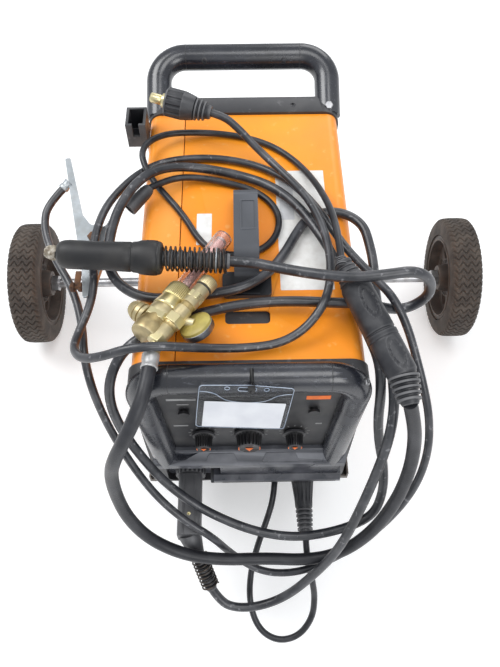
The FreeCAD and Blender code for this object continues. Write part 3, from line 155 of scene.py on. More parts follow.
class Bench:
    """The nodes of one material, with short names for the few kinds used here."""

    def __init__(self, name):
        self.material = bpy.data.materials.new(name)
        self.material.use_nodes = True
        self.nodes = self.material.node_tree.nodes
        self.links = self.material.node_tree.links
        self.shader = self.nodes["Principled BSDF"]
        self.place = self.nodes.new("ShaderNodeTexCoord").outputs["Object"]

    def noise(self, scale, detail=4.0, stretch=(1, 1, 1)):
        """Cloudy variation; the scale is in features per metre."""
        mapping = self.nodes.new("ShaderNodeMapping")
        mapping.inputs["Scale"].default_value = stretch
        self.links.new(self.place, mapping.inputs["Vector"])
        node = self.nodes.new("ShaderNodeTexNoise")
        node.inputs["Scale"].default_value = scale
        node.inputs["Detail"].default_value = detail
        self.links.new(mapping.outputs[0], node.inputs["Vector"])
        return node.outputs["Fac"]

    def cells(self, scale):
        """Flat random patches, like the crystals of a zinc coat."""
        node = self.nodes.new("ShaderNodeTexVoronoi")
        node.inputs["Scale"].default_value = scale
        self.links.new(self.place, node.inputs["Vector"])
        return node.outputs["Color"]

    def step(self, value, low, high, top=1.0):
        """0 below low, rising to top at high."""
        node = self.nodes.new("ShaderNodeMapRange")
        node.inputs["From Min"].default_value = low
        node.inputs["From Max"].default_value = high
        node.inputs["To Max"].default_value = top
        self.links.new(value, node.inputs["Value"])
        return node.outputs["Result"]

    def blend(self, share, first, second):
        """From the first colour to the second as share goes from 0 to 1."""
        node = self.nodes.new("ShaderNodeMix")
        node.data_type = "RGBA"
        self.links.new(share, node.inputs["Factor"])
        for socket, value in ((node.inputs[6], first), (node.inputs[7], second)):
            if isinstance(value, tuple):
                socket.default_value = value
            else:
                self.links.new(value, socket)
        return node.outputs[2]

    def bump(self, height, strength, depth_mm):
        """Raises the surface by up to depth_mm where height is 1."""
        node = self.nodes.new("ShaderNodeBump")
        node.inputs["Strength"].default_value = strength
        node.inputs["Distance"].default_value = depth_mm * MM
        self.links.new(height, node.inputs["Height"])
        old = self.shader.inputs["Normal"]
        if old.is_linked:
            self.links.new(old.links[0].from_socket, node.inputs["Normal"])
        self.links.new(node.outputs[0], old)

    def edges(self, low, high, top):
        """High on sharp outer edges, where paint wears first."""
        node = self.nodes.new("ShaderNodeNewGeometry")
        return self.step(node.outputs["Pointiness"], low, high, top)


def worn(name, base, rough, metal=0.0, drift=None, dust=None, scuff=None, edge=None, grain=None,
        flakes=None, shine=0.5):
    """A used surface: base colour with drift, dust patches, scuffs, pale edges, and fine grain or flakes.

    Colours are 0-255 screen values. After its colour, each layer has features per metre and a strength.
    """
    bench = Bench(name)
    paint = colour(*base)
    if drift:
        paint = bench.blend(bench.step(bench.noise(drift[1]), 0.35, 0.65), paint, colour(*drift[0]))
    if dust:
        paint = bench.blend(bench.step(bench.noise(dust[1], 6), 0.45, 0.72, dust[2]), paint,
            colour(*dust[0]))
    if scuff:
        marks = bench.step(bench.noise(scuff[1], 9, scuff[3]), 0.62, 0.7, scuff[2])
        paint = bench.blend(marks, paint, colour(*scuff[0]))
    if edge:
        paint = bench.blend(bench.edges(0.51, 0.58, edge[1]), paint, colour(*edge[0]))
    if isinstance(paint, tuple):
        bench.shader.inputs["Base Color"].default_value = paint
    else:
        bench.links.new(paint, bench.shader.inputs["Base Color"])
    gloss = bench.nodes.new("ShaderNodeMapRange")
    gloss.inputs["To Min"].default_value = max(0.05, rough - 0.12)
    gloss.inputs["To Max"].default_value = min(1.0, rough + 0.12)
    bench.links.new(bench.noise(35, 6), gloss.inputs["Value"])
    bench.links.new(gloss.outputs[0], bench.shader.inputs["Roughness"])
    bench.shader.inputs["Metallic"].default_value = metal
    bench.shader.inputs["Specular IOR Level"].default_value = shine
    if grain:
        bench.bump(bench.noise(grain[0], 3), grain[1], grain[2])
    if flakes:
        bench.bump(bench.cells(flakes[0]), flakes[1], flakes[2])
    return bench.material


# %% Paint and moulded plastic
EVEN = (1, 1, 1)
LENGTHWISE = (0.25, 1, 1)
ROUND_THE_SPOOL = (1.0, 0.05, 0.05)
orange = worn("orange_paint", (255, 156, 8), 0.38, drift=((250, 138, 6), 5),
    dust=((222, 128, 34), 14, 0.35), scuff=((255, 206, 130), 75, 0.3, EVEN), edge=((255, 200, 120), 0.3),
    grain=(900, 0.12, 0.1))
frame_black = worn("frame_plastic", (22, 23, 27), 0.46, drift=((34, 34, 38), 9),
    dust=((86, 84, 82), 22, 0.4), scuff=((140, 140, 142), 90, 0.3, EVEN), edge=((112, 112, 114), 0.45),
    grain=(1400, 0.35, 0.15))
bar_black = worn("bar_plastic", (13, 15, 23), 0.26, drift=((22, 25, 34), 12), dust=((62, 65, 76), 26, 0.3),
    scuff=((150, 154, 166), 480, 0.18, LENGTHWISE), edge=((90, 92, 98), 0.3), grain=(1800, 0.2, 0.08),
    shine=0.95)
panel_black = worn("panel_plastic", (29, 30, 34), 0.44, drift=((40, 40, 43), 14),
    dust=((82, 80, 78), 30, 0.45), grain=(1500, 0.3, 0.1))
ledge_black = worn("ledge_plastic", (40, 42, 49), 0.3, drift=((56, 58, 66), 18),
    dust=((120, 120, 126), 34, 0.5), edge=((150, 152, 158), 0.5), grain=(1400, 0.3, 0.1))
tie_black = worn("tie_plastic", (5, 5, 6), 0.45)
knob_black = worn("knob_plastic", (19, 19, 22), 0.38, dust=((70, 68, 66), 60, 0.3),
    edge=((84, 84, 88), 0.5), grain=(2200, 0.2, 0.08))
grip_black = worn("carry_grip_plastic", (12, 13, 17), 0.5, drift=((20, 21, 25), 16),
    dust=((50, 50, 54), 34, 0.3), edge=((150, 154, 162), 0.7), grain=(1600, 0.25, 0.1), shine=0.25)
cart_black = worn("cart_paint", (30, 30, 33), 0.46, drift=((42, 40, 38), 7), dust=((90, 82, 72), 16, 0.5),
    scuff=((120, 112, 104), 50, 0.35, EVEN), edge=((130, 120, 112), 0.5), grain=(1000, 0.3, 0.15))
marking_orange = worn("marking_orange", (240, 112, 24), 0.5, dust=((150, 92, 50), 90, 0.4))
marking_grey = worn("marking_grey", (150, 150, 150), 0.55, dust=((80, 80, 80), 120, 0.6))

# %% Rubber
lead_rubber = worn("lead_rubber", (26, 28, 34), 0.36, drift=((40, 42, 48), 16),
    dust=((92, 92, 96), 40, 0.5), scuff=((160, 160, 164), 150, 0.4, EVEN), grain=(1100, 0.3, 0.15),
    shine=0.8)
hose_rubber = worn("hose_rubber", (25, 26, 31), 0.42, drift=((34, 35, 40), 12),
    dust=((70, 71, 76), 34, 0.4), flakes=(620, 0.45, 0.35))
thin_rubber = worn("thin_lead_rubber", (25, 26, 31), 0.35, drift=((36, 37, 42), 22),
    dust=((82, 82, 86), 60, 0.4), grain=(1300, 0.3, 0.12))
moulded_rubber = worn("moulded_rubber", (32, 33, 38), 0.45, drift=((46, 47, 51), 24),
    dust=((92, 92, 94), 50, 0.4), edge=((138, 138, 140), 0.5), grain=(1500, 0.4, 0.15))
gun_rubber = worn("gun_rubber", (17, 18, 21), 0.5, drift=((28, 28, 30), 18), dust=((62, 59, 56), 36, 0.35),
    edge=((90, 88, 84), 0.35), grain=(1200, 0.5, 0.25))
tyre_rubber = worn("tyre_rubber", (56, 50, 46), 0.82, drift=((72, 65, 59), 20),
    dust=((108, 98, 89), 38, 0.5), edge=((120, 110, 101), 0.4), grain=(700, 0.7, 0.5))
rim_plastic = worn("rim_plastic", (52, 45, 41), 0.58, drift=((66, 56, 50), 18),
    dust=((110, 96, 84), 42, 0.45), edge=((126, 112, 100), 0.4), grain=(900, 0.4, 0.2))
foot_rubber = worn("foot_rubber", (34, 34, 35), 0.7, dust=((84, 80, 74), 40, 0.5))

# %% Metal
brass = worn("worn_brass", (196, 176, 126), 0.4, metal=0.7, drift=((150, 128, 84), 42),
    dust=((96, 80, 52), 70, 0.75), edge=((240, 230, 190), 0.8), grain=(900, 0.35, 0.12))
bright_brass = worn("bright_brass", (214, 200, 146), 0.3, metal=0.8, drift=((196, 180, 122), 40),
    dust=((136, 122, 84), 70, 0.4), edge=((250, 242, 206), 0.6))
steel = worn("bright_steel", (186, 186, 188), 0.32, metal=1.0, drift=((150, 150, 152), 40),
    dust=((110, 98, 86), 80, 0.35), grain=(1200, 0.2, 0.05))
roll_steel = worn("tool_steel", (160, 160, 164), 0.3, metal=1.0, drift=((130, 130, 134), 60))
rusty_steel = worn("rusty_steel", (112, 84, 66), 0.72, metal=0.35, drift=((74, 54, 44), 60),
    dust=((150, 102, 66), 90, 0.7), grain=(1600, 0.8, 0.3))
spring_steel = worn("spring_steel", (36, 34, 34), 0.4, metal=0.5, drift=((84, 74, 66), 70))
spatter = worn("spatter_crust", (176, 168, 152), 0.6, metal=0.6, drift=((120, 108, 92), 160),
    dust=((222, 218, 208), 220, 0.7), grain=(700, 1.0, 1.2))
aluminium = worn("cast_aluminium", (168, 170, 174), 0.42, metal=1.0, drift=((140, 142, 146), 25),
    grain=(700, 0.3, 0.1))
winding = worn("wound_wire", (196, 140, 104), 0.35, metal=0.9, drift=((170, 112, 80), 40),
    scuff=((230, 190, 160), 500, 0.6, ROUND_THE_SPOOL), grain=(2600, 0.6, 0.2))

zinc = worn("zinc_plate", (196, 202, 206), 0.42, metal=0.75, drift=((168, 174, 178), 45),
    dust=((128, 124, 116), 70, 0.35), flakes=(260, 0.25, 0.2))
crimp = worn("crimp_metal", (214, 214, 212), 0.4, metal=0.5, drift=((180, 180, 180), 90),
    dust=((120, 120, 122), 110, 0.5))

# %% Clear and printed things
label_paper = worn("label_paper", (238, 238, 236), 0.5, drift=((224, 222, 218), 40),
    dust=((186, 180, 172), 90, 0.3))
label_grey = worn("label_grey", (204, 205, 208), 0.5, drift=((188, 188, 190), 60))
card_paper = worn("card_paper", (226, 228, 232), 0.6, drift=((212, 214, 220), 25))
gauge_back = worn("gauge_back", (186, 172, 96), 0.4, drift=((164, 148, 78), 60),
    dust=((120, 112, 60), 90, 0.4))


def clear(name, tint, rough, ior, share):
    """A clear plastic with a faint tint; share is how much of the light goes through it."""
    bench = Bench(name)
    milky = (0.93, 0.93, 0.93, 1)
    bench.links.new(bench.blend(bench.noise(60, 4), colour(*tint), milky),
        bench.shader.inputs["Base Color"])
    for word, value in (("Roughness", rough), ("IOR", ior), ("Transmission Weight", share)):
        bench.shader.inputs[word].default_value = value
    return bench.material


clear_tube = clear("clear_tube", (250, 226, 224), 0.08, 1.45, 0.92)
clear_sheet = clear("clear_sheet", (196, 206, 220), 0.06, 1.25, 1.0)
dark_glass = worn("display_glass", (18, 20, 22), 0.12)
# Pale bluish colour for painted highlight: thin lines where the clear sheet's edges catch the light.
sheet_edge_highlight = worn("sheet_edge_highlight", (150, 164, 184), 0.3, drift=((190, 200, 214), 80))
column_pink = worn("flow_column", (222, 172, 166), 0.3, drift=((236, 206, 200), 60))
print("materials", len(bpy.data.materials))


# %% [markdown]
# ## Dressing the fixed solids
# Real mouldings and folded sheets have no razor edges. The solids may carry modifiers, so each one is
# welded, gets a narrow bevel on its corners and normals weighted by area. The bevel catches the light
# as a real edge does, and the solid itself stays as it is.

# %% Smooth shading as a modifier, so that the fixed meshes stay untouched
smooth_faces = bpy.data.node_groups.new("smooth_faces", "GeometryNodeTree")
for way in ("INPUT", "OUTPUT"):
    smooth_faces.interface.new_socket("Geometry", in_out=way, socket_type="NodeSocketGeometry")
coming = smooth_faces.nodes.new("NodeGroupInput")
shade = smooth_faces.nodes.new("GeometryNodeSetShadeSmooth")
going = smooth_faces.nodes.new("NodeGroupOutput")
smooth_faces.links.new(coming.outputs[0], shade.inputs[0])
smooth_faces.links.new(shade.outputs[0], going.inputs[0])


# %% Dress
def soften(piece, width_mm):
    """Small rounded edges with flat-looking faces."""
    weld = piece.modifiers.new("weld", "WELD")
    weld.merge_threshold = 1e-6
    piece.modifiers.new("smooth", "NODES").node_group = smooth_faces
    bevel = piece.modifiers.new("soft_edges", "BEVEL")
    bevel.width = width_mm * MM
    bevel.segments = 2
    bevel.limit_method = "ANGLE"
    bevel.angle_limit = math.radians(38)
    piece.modifiers.new("flat_faces", "WEIGHTED_NORMAL")


def dress(finish, width_mm, *nodes):
    """One finish and edge radius for several fixed solids."""
    for name in nodes:
        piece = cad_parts[name]
        piece.data.materials.clear()
        piece.data.materials.append(finish)
        if width_mm:
            soften(piece, width_mm)


dress(orange, 0.5, "top_cover", "left_shoulder_cover", "right_side_panel", "side_door")
dress(frame_black, 0.8, "front_bezel", "rear_bezel", "cord_hook")
dress(ledge_black, 0.8, "socket_panel")
dress(bar_black, 0.0, "front_bar", "rear_handle")
dress(panel_black, 0.5, "control_panel")
dress(grip_black, 1.0, "carry_handle")
dress(knob_black, 0.4, "left_button", "right_button", "power_switch", "door_latch", "fan_rotor",
    "pressure_arm")
dress(cart_black, 0.5, "cart_deck", "base_pan", "centre_divider")
dress(foot_rubber, 0.5, "feet", "left_caster_wheel", "right_caster_wheel")
dress(steel, 0.4, "axle", "left_caster_fork", "right_caster_fork")
dress(aluminium, 0.4, "feed_unit", "power_unit")
dress(roll_steel, 0.3, "drive_roll")
dress(brass, 0.4, "output_sockets", "rear_fittings")
dress(rim_plastic, 0.6, "left_rim", "right_rim")
dress(gun_rubber, 0.5, "gun_trigger")
dress(winding, 0.3, "wire_spool")
dress(zinc, 0.3, "clamp_upper_jaw")


# %% [markdown]
# ## Making new pieces
# Most of the finer parts are round: handles, plugs, nuts and knobs are all turned on a lathe or
# moulded in a round die. One helper spins a profile of (distance, radius) pairs about a line, and can
# cut flutes or knurls into a stretch of it. Flat parts come from outlines, and bars and springs from
# curves with thickness. A piece can name the node that it stands for, which is then hidden.


# %% Mesh helpers
def settle(made, body, node):
    """The piece rides on a body and, where it names a node, hides that node in its place."""
    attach(made, body)
    if node:
        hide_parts(node)
    return made


def keep(name, mesh, finish, body=BODY, sharp=35.0, width_mm=0.0, node=None, slot=None):
    """A finished mesh becomes a piece."""
    bm = bmesh.new()
    bm.from_mesh(mesh)
    bmesh.ops.recalc_face_normals(bm, faces=bm.faces)
    bm.to_mesh(mesh)
    bm.free()
    mesh.polygons.foreach_set("use_smooth", [True] * len(mesh.polygons))
    mesh.set_sharp_from_angle(angle=math.radians(sharp))
    made = bpy.data.objects.new(name, mesh)
    bpy.context.scene.collection.objects.link(made)
    mesh.materials.clear()
    mesh.materials.append(finish)
    if width_mm:
        soften(made, width_mm)
    return settle(made, body, node)


def across(way):
    """Two directions square to a way, the second one as upright as it can be."""
    side = UP.cross(way)
    if side.length < 1e-3:
        side = Vector((1, 0, 0))
    side.normalize()
    return side, way.cross(side).normalized()


def rings(profile, start, way, sides, cut=None):
    """Points and faces of a spun profile; cut(distance, angle) takes some radius away, in mm."""
    way = Vector(way).normalized()
    side, up = across(way)
    points, faces = [], []
    for distance, radius in profile:
        for step in range(sides):
            angle = 2 * math.pi * step / sides
            reach = radius - (cut(distance, angle) if cut else 0.0)
            out = side * math.cos(angle) + up * math.sin(angle)
            points.append((Vector(start) + way * distance + out * max(reach, 0.01)) * MM)
    for ring in range(len(profile) - 1):
        for step in range(sides):
            here, following = ring * sides + step, ring * sides + (step + 1) % sides
            faces.append((here, following, following + sides, here + sides))
    faces.append(tuple(reversed(range(sides))))
    faces.append(tuple(range((len(profile) - 1) * sides, len(profile) * sides)))
    return points, faces


def spun(name, profile, start, way, finish, body=BODY, sides=64, cut=None, sharp=35.0, width_mm=0.0,
        **marks):
    """A round piece along a line."""
    points, faces = rings(profile, start, way, sides, cut)
    mesh = bpy.data.meshes.new(name)
    mesh.from_pydata([tuple(p) for p in points], [], faces)
    return keep(name, mesh, finish, body, sharp, width_mm, **marks)


def flutes(count, depth, low, high, width=0.5):
    """A cut that carves this many grooves between two distances."""
    def cut(distance, angle):
        if not low <= distance <= high:
            return 0.0
        wave = math.cos(count * angle)
        return depth * min(1.0, max(0.0, (wave - 1 + 2 * width) / width))
    return cut


def ribbed(start, end, pitch, low, high, taper=0.0):
    """Profile points of soft rings along a boot, from radius high in the ribs to low between them."""
    profile, distance = [], start
    while distance < end - pitch * 0.5:
        shrink = taper * (distance - start) / (end - start)
        for share, radius in ((0.0, low), (0.12, high), (0.5, high), (0.62, low)):
            profile.append((distance + share * pitch, radius - shrink))
        distance += pitch
    profile.append((end, low - taper))
    return profile


def capped(profile, soft=0.8):
    """The profile with small rounded corners at its two flat ends."""
    (first, radius), (last, end_radius) = profile[0], profile[-1]
    turn = 1 if last > first else -1
    head = [(first, radius - soft), (first + turn * soft * 0.3, radius - soft * 0.3),
        (first + turn * soft, radius)]
    tail = [(last - turn * soft, end_radius), (last - turn * soft * 0.3, end_radius - soft * 0.3),
        (last, end_radius - soft)]
    return head + profile[1:-1] + tail


def thick_line(name, points, radius_mm, finish, body=BODY, closed=False, resolution=6, around=4, node=None,
        slot=None):
    """A smooth round bar or wire along points in mm."""
    curve = bpy.data.curves.new(name, "CURVE")
    curve.dimensions = "3D"
    spline = curve.splines.new("NURBS")
    spline.points.add(len(points) - 1)
    for knot, place in zip(spline.points, points):
        knot.co = (*(Vector(place) * MM), 1.0)
    spline.order_u = 3
    spline.use_cyclic_u = closed
    spline.use_endpoint_u = not closed
    spline.resolution_u = resolution
    curve.bevel_depth = radius_mm * MM
    curve.bevel_resolution = around
    curve.use_fill_caps = True
    made = bpy.data.objects.new(name, curve)
    bpy.context.scene.collection.objects.link(made)
    curve.materials.append(finish)
    return settle(made, body, node)


def rounded(corners, steps=5):
    """Outline points of (u, v, radius) corners, each corner an arc."""
    outline = []
    for index, (u, v, radius) in enumerate(corners):
        here = Vector((u, v))
        before = Vector(corners[index - 1][:2])
        after = Vector(corners[(index + 1) % len(corners)][:2])
        if radius <= 0:
            outline.append(here)
            continue
        come, go = (before - here).normalized(), (after - here).normalized()
        half = come.angle(go) / 2
        centre = here + (come + go).normalized() * (radius / math.sin(half))
        first = here + come * (radius / math.tan(half)) - centre
        sweep = math.pi - 2 * half
        turn = 1 if come.x * go.y - come.y * go.x < 0 else -1
        for step in range(steps + 1):
            angle = turn * sweep * step / steps
            cos, sin = math.cos(angle), math.sin(angle)
            outline.append(centre + Vector((first.x * cos - first.y * sin, first.x * sin + first.y * cos)))
    return outline


def oblong(wide, tall, radius):
    """Outline points of a rectangle about the origin with round corners."""
    u, v = wide / 2, tall / 2
    return rounded([(-u, -v, radius), (u, -v, radius), (u, v, radius), (-u, v, radius)])


def plate(name, loops, thickness, finish, placed, body=BODY, width_mm=0.25, **marks):
    """A flat piece from an outline and holes in mm, cut as one filled curve, then placed by a matrix."""
    curve = bpy.data.curves.new(name, "CURVE")
    curve.dimensions = "2D"
    curve.fill_mode = "BOTH"
    curve.extrude = (thickness / 2 - width_mm) * MM
    curve.bevel_depth = width_mm * MM
    curve.bevel_resolution = 1
    curve.offset = -width_mm * MM
    for loop in loops:
        spline = curve.splines.new("POLY")
        spline.points.add(len(loop) - 1)
        for knot, (u, v) in zip(spline.points, loop):
            knot.co = (u * MM, v * MM, 0, 1)
        spline.use_cyclic_u = True
    holder = bpy.data.objects.new(name + "_outline", curve)
    bpy.context.scene.collection.objects.link(holder)
    bpy.context.view_layer.update()
    mesh = bpy.data.meshes.new_from_object(holder.evaluated_get(bpy.context.evaluated_depsgraph_get()))
    bpy.data.objects.remove(holder)
    bpy.data.curves.remove(curve)
    mesh.name = name
    mesh.transform(placed)
    return keep(name, mesh, finish, body, **marks)


def circle(u, v, radius, steps=28):
    """Outline points of a round hole."""
    turns = [2 * math.pi * k / steps for k in range(steps)]
    return [(u + radius * math.cos(a), v + radius * math.sin(a)) for a in turns]


def lying_at(x, y, z):
    """Places an outline flat, seen from above."""
    return Matrix.Translation(at(x, y, z))


def facing_front(x, y, z):
    """Places an outline upright, seen from the front."""
    return Matrix.Translation(at(x, y, z)) @ Matrix.Rotation(math.pi / 2, 4, "X")


def screw(name, place, way, radius, finish, body=BODY):
    """A domed screw head with a round drive recess, sunk a little into its part."""
    profile = [(-2, radius), (0.3, radius), (1.0, radius * 0.82), (1.3, radius * 0.5),
        (1.3, radius * 0.42), (0.1, radius * 0.36), (0.0, 0.05)]
    return spun(name, profile, place, way, finish, body, 24)


def hexagon(name, profile, start, way, finish, body=BODY):
    """A hexagonal nut or bar; radii are to the corners."""
    return spun(name, profile, start, way, finish, body, 6, sharp=20.0, width_mm=0.5)


def ring(name, centre, way, radius, thickness, finish, body=BODY, **marks):
    """A thin round hoop about a line."""
    side, up = across(Vector(way).normalized())
    points = [Vector(centre) + (side * math.cos(a) + up * math.sin(a)) * radius
        for a in [k * math.pi / 12 for k in range(24)]]
    return thick_line(name, points, thickness, finish, body, closed=True, resolution=4, **marks)


def hollow(piece, centre, size, turn):
    """Cuts a box-shaped pocket, in mm, into a finished piece."""
    cutter_mesh = bpy.data.meshes.new("cutter")
    bm = bmesh.new()
    bmesh.ops.create_cube(bm, size=1.0)
    bm.to_mesh(cutter_mesh)
    bm.free()
    cutter_mesh.transform(Matrix.Translation(at(*centre)) @ turn
        @ Matrix.Diagonal((*(Vector(size) * MM), 1.0)))
    cutter = bpy.data.objects.new("cutter", cutter_mesh)
    bpy.context.scene.collection.objects.link(cutter)
    carve = piece.modifiers.new("carve", "BOOLEAN")
    carve.operation = "DIFFERENCE"
    carve.object = cutter
    bpy.context.view_layer.update()
    carved = bpy.data.meshes.new_from_object(piece.evaluated_get(bpy.context.evaluated_depsgraph_get()))
    piece.modifiers.remove(carve)
    piece.data = carved
    bpy.data.objects.remove(cutter)
    piece.data.set_sharp_from_angle(angle=math.radians(35))


def bend_guard(name, start, end, coil_radius, turns, wire_radius=1.2):
    """A coil spring round a lead, from a formula, twelve points to the turn."""
    first, way = Vector(start), Vector(end) - Vector(start)
    side, up = across(way.normalized())
    count = turns * 12
    points = []
    for step in range(count + 1):
        angle = 2 * math.pi * step / 12
        out = side * math.cos(angle) + up * math.sin(angle)
        points.append(first + way * (step / count) + out * coil_radius)
    return thick_line(name, points, wire_radius, spring_steel, resolution=2, node="bend_guards",
        slot="guard_steel")


def moulded(name, profile, start, way, sides, **marks):
    """A round piece of moulded rubber, with the finish of the plugs."""
    return spun(name, profile, start, way, moulded_rubber, sides=sides, slot="plug_rubber", **marks)


# %% [markdown]
# ## The leads
# A welding lead is a stranded copper core in soft rubber. It is heavy, keeps the wide loops it was
# coiled in, and never kinks. Each lead is one smooth curve along listed points, the same route
# that the fixed solid follows, with its real diameter. The leads come first because everything that
# lies on top of the machine has to sit among them.

# %% Routes, in mm
GAS_HOSE = [(-104, -248, 502), (-107, -276, 501), (-117, -302, 489), (-132, -320, 465), (-146, -327, 434),
    (-157, -327, 393), (-161, -331, 335), (-153, -345, 280), (-128, -361, 236), (-84, -374, 209),
    (-36, -377, 195), (20, -374, 187), (74, -376, 181), (118, -373, 198), (155, -359, 243),
    (179, -338, 300), (189, -317, 357), (187, -301, 408), (178, -294, 450), (169, -288, 480)]
GUN_CABLE = [(-54, -403, 146), (-42, -418, 130), (-22, -425, 123), (10, -424, 122), (48, -414, 135),
    (83, -396, 178), (112, -378, 238), (131, -352, 295), (148, -322, 345), (159, -298, 390),
    (164, -274, 422), (164, -246, 442), (160, -210, 453), (154, -168, 459), (152, -131, 463),
    (154, -96, 468), (151, -62, 471), (147, -40, 472.5), (133, -23, 472.5), (113, -15, 472.5),
    (91, -18, 472.5), (73, -31, 472.5), (61, -52, 472.5), (46, -83, 474), (27, -114, 480), (0, -136, 482),
    (-34, -143, 479), (-77, -143, 472.5), (-106, -146, 474), (-128, -145, 480), (-148, -134, 486),
    (-160, -115, 490), (-164, -90, 490), (-163, -58, 491), (-156, -24, 495), (-140, 8, 499),
    (-118, 34, 498), (-90, 50, 490), (-54, 58, 478), (-8, 50, 473), (33, 27, 477), (64, -12, 484),
    (87, -58, 487), (104, -96, 484), (116, -130, 475), (125, -166, 472.4), (136, -200, 473),
    (147, -228, 462), (151, -250, 430), (153, -262, 385), (161, -273, 335), (172, -290, 295),
    (173, -312, 262), (163, -332, 238), (135, -343, 224), (99, -350, 215), (59, -353, 210),
    (15, -347, 212), (-27, -335, 222), (-71, -318, 242), (-112, -296, 277), (-142, -272, 325),
    (-160, -254, 375), (-163, -240, 420), (-153, -225, 453), (-135, -208, 472), (-108, -188, 472.5),
    (-72, -172, 473), (-26, -164, 481), (17, -160, 485), (60, -159, 484), (100, -163, 485.2),
    (132, -165, 487), (179, -160, 461), (206, -158, 484), (204, -159, 519), (182, -161, 542),
    (150, -165, 541), (118, -166, 537), (90, -160, 533), (60, -150, 527), (28, -137.5, 521),
    (5, -128, 517.6), (-19, -126.5, 518)]
GROUND_CABLE = [(-43, 115, 520), (-25.7, 110.6, 517.8), (-8, 99, 508), (12, 82, 495), (35, 57, 488),
    (58, 23, 490), (76, -12, 497), (88, -49, 501), (95, -85, 502), (97, -120, 502), (92, -156, 500),
    (80, -181, 494), (60, -199, 482), (33, -211, 476), (-3, -216, 477), (-37, -221, 486), (-67, -229, 503),
    (-95, -236, 518.5), (-126, -238, 518), (-155, -239, 503), (-182, -231, 484), (-197, -208, 468),
    (-194, -180, 461), (-184, -154, 468), (-178, -130, 481), (-180, -108, 489), (-182, -82, 491),
    (-180, -50, 491), (-174, -14, 486), (-161, 23, 477), (-141, 55, 472), (-110, 77, 471.5),
    (-66, 84, 471.5), (-20, 80, 471.5), (23, 65, 471.5), (57, 38, 474), (81, -4, 484), (99, -45, 489),
    (116, -85, 491), (134, -114, 491), (151, -136, 489), (168, -158, 485), (184, -182, 463),
    (196, -208, 436), (206, -234, 412), (216, -260, 380), (220, -286, 338), (212, -311, 290),
    (190, -333, 242), (153, -356, 200), (108, -376, 176), (62, -388, 158), (14, -384, 150),
    (-26, -363, 168), (-50, -354, 222), (-84, -338, 240), (-118, -316, 270), (-145, -290, 308),
    (-167, -262, 350), (-178, -244, 398), (-183, -229, 435), (-189, -203, 449), (-193, -175, 449),
    (-201, -142, 449), (-215, -107, 451), (-234, -76, 452), (-249, -46, 455), (-257, -17, 460),
    (-254, 7, 467), (-234, 26, 477)]
TORCH_CABLE = [(106, -127, 520), (106, -98, 518), (105, -57, 508), (100, -12, 493), (89, 34, 478),
    (71, 72, 471), (43, 102, 470.5), (8, 121, 470.5), (-33, 131, 470.5), (-74, 130, 474), (-106, 121, 480),
    (-127, 104, 484), (-136, 81, 487), (-131, 58, 484), (-118, 37, 474), (-102, 17, 471), (-87, -4, 470.5),
    (-73, -27, 470.5), (-62, -50, 470.5), (-47, -70, 470.5), (-24, -81, 470.5), (1, -80, 470.5),
    (24, -70, 470.5), (39, -49, 470.5), (43, -21, 470.5), (32, 6, 470.5), (9, 26, 470.5), (-20, 37, 471),
    (-50, 43, 474), (-78, 43, 478), (-102, 34, 481), (-121, 18, 485)]
POLARITY_LEAD = [(77, -338, 171), (77, -359, 169), (80, -377, 156), (86, -394, 134), (90, -411, 110),
    (87, -434, 84), (67, -456, 70), (36, -461, 66), (9, -445, 74), (-3, -411, 92), (0, -374, 117),
    (11, -343, 142), (25, -312, 160), (35, -283, 170), (37, -258, 171)]


# %% Lay the leads
def lead(node, slot, route, diameter_mm, finish):
    """One lead in place of its node, as a single smooth curve of its real thickness."""
    return thick_line(node + "_rubber", route, diameter_mm / 2, finish, resolution=8, around=6, node=node,
        slot=slot)


gas_hose = lead("gas_hose", "hose_rubber", GAS_HOSE, 16.0, hose_rubber)
gun_cable = lead("gun_cable", "cable_rubber", GUN_CABLE, 12.0, lead_rubber)
ground_cable = lead("ground_cable", "cable_rubber", GROUND_CABLE, 10.0, lead_rubber)
torch_cable = lead("torch_cable", "cable_rubber", TORCH_CABLE, 8.5, thin_rubber)
polarity_lead = lead("polarity_lead", "cable_rubber", POLARITY_LEAD, 9.0, thin_rubber)

# %% [markdown]
# ## Gun
# The gun is a rubber handle over a brass tube. Its front is burnt and crusted, a thin band and a
# thicker collar mark where the two halves screw together, and a bend-guard spring over a ribbed boot
# leads the cable out. The handle is spun with slight swells, because moulded rubber is never straight.

# %% Gun handle
GUN_START, GUN_END = Vector((-204.6, -115.7, 521.1)), Vector((-19, -126.5, 518))
GUN_WAY = (GUN_END - GUN_START).normalized()
GUN_LENGTH = (GUN_END - GUN_START).length
handle_profile = [(-8, 9.5), (-7.4, 11.6), (-4, 14.6), (0, 15.9), (6, 16.5), (26, 16.2), (48, 16.4),
    (66, 16.9), (74, 17.1), (75, 16.5), (76.4, 16.5), (77.2, 17.3), (82, 17.8), (86, 19.2), (93, 19.9),
    (100, 20), (104, 19.6), (105.5, 18.6), (106.5, 18.9), (109, 17.4), (111, 12.5)]
gun_grip = spun("gun_grip", handle_profile, GUN_START, GUN_WAY, gun_rubber, sides=72, node="gun_handle",
    slot="gun_plastic")
GUN_ACROSS = UP.cross(GUN_WAY).normalized()
GUN_UP = GUN_WAY.cross(GUN_ACROSS)
GUN_TURN = Matrix((GUN_WAY, GUN_ACROSS, GUN_UP)).transposed().to_4x4()
hollow(gun_grip, GUN_START + GUN_WAY * 14.5 - GUN_UP * 15, (33, 10.4, 13), GUN_TURN)
boot = [(110, 9.2)] + ribbed(113, 182, 3.6, 8.6, 10.4, 0.6) + [(183, 9.0), (GUN_LENGTH, 8.2)]
spun("gun_boot", boot, GUN_START, GUN_WAY, moulded_rubber, sides=48, slot="gun_plastic")
gun_guard = bend_guard("gun_bend_guard", GUN_START + GUN_WAY * 113, GUN_START + GUN_WAY * 183, 13.8, 13)
ring("gun_guard_ring", GUN_START + GUN_WAY * 171, GUN_WAY, 14.4, 0.6, zinc)


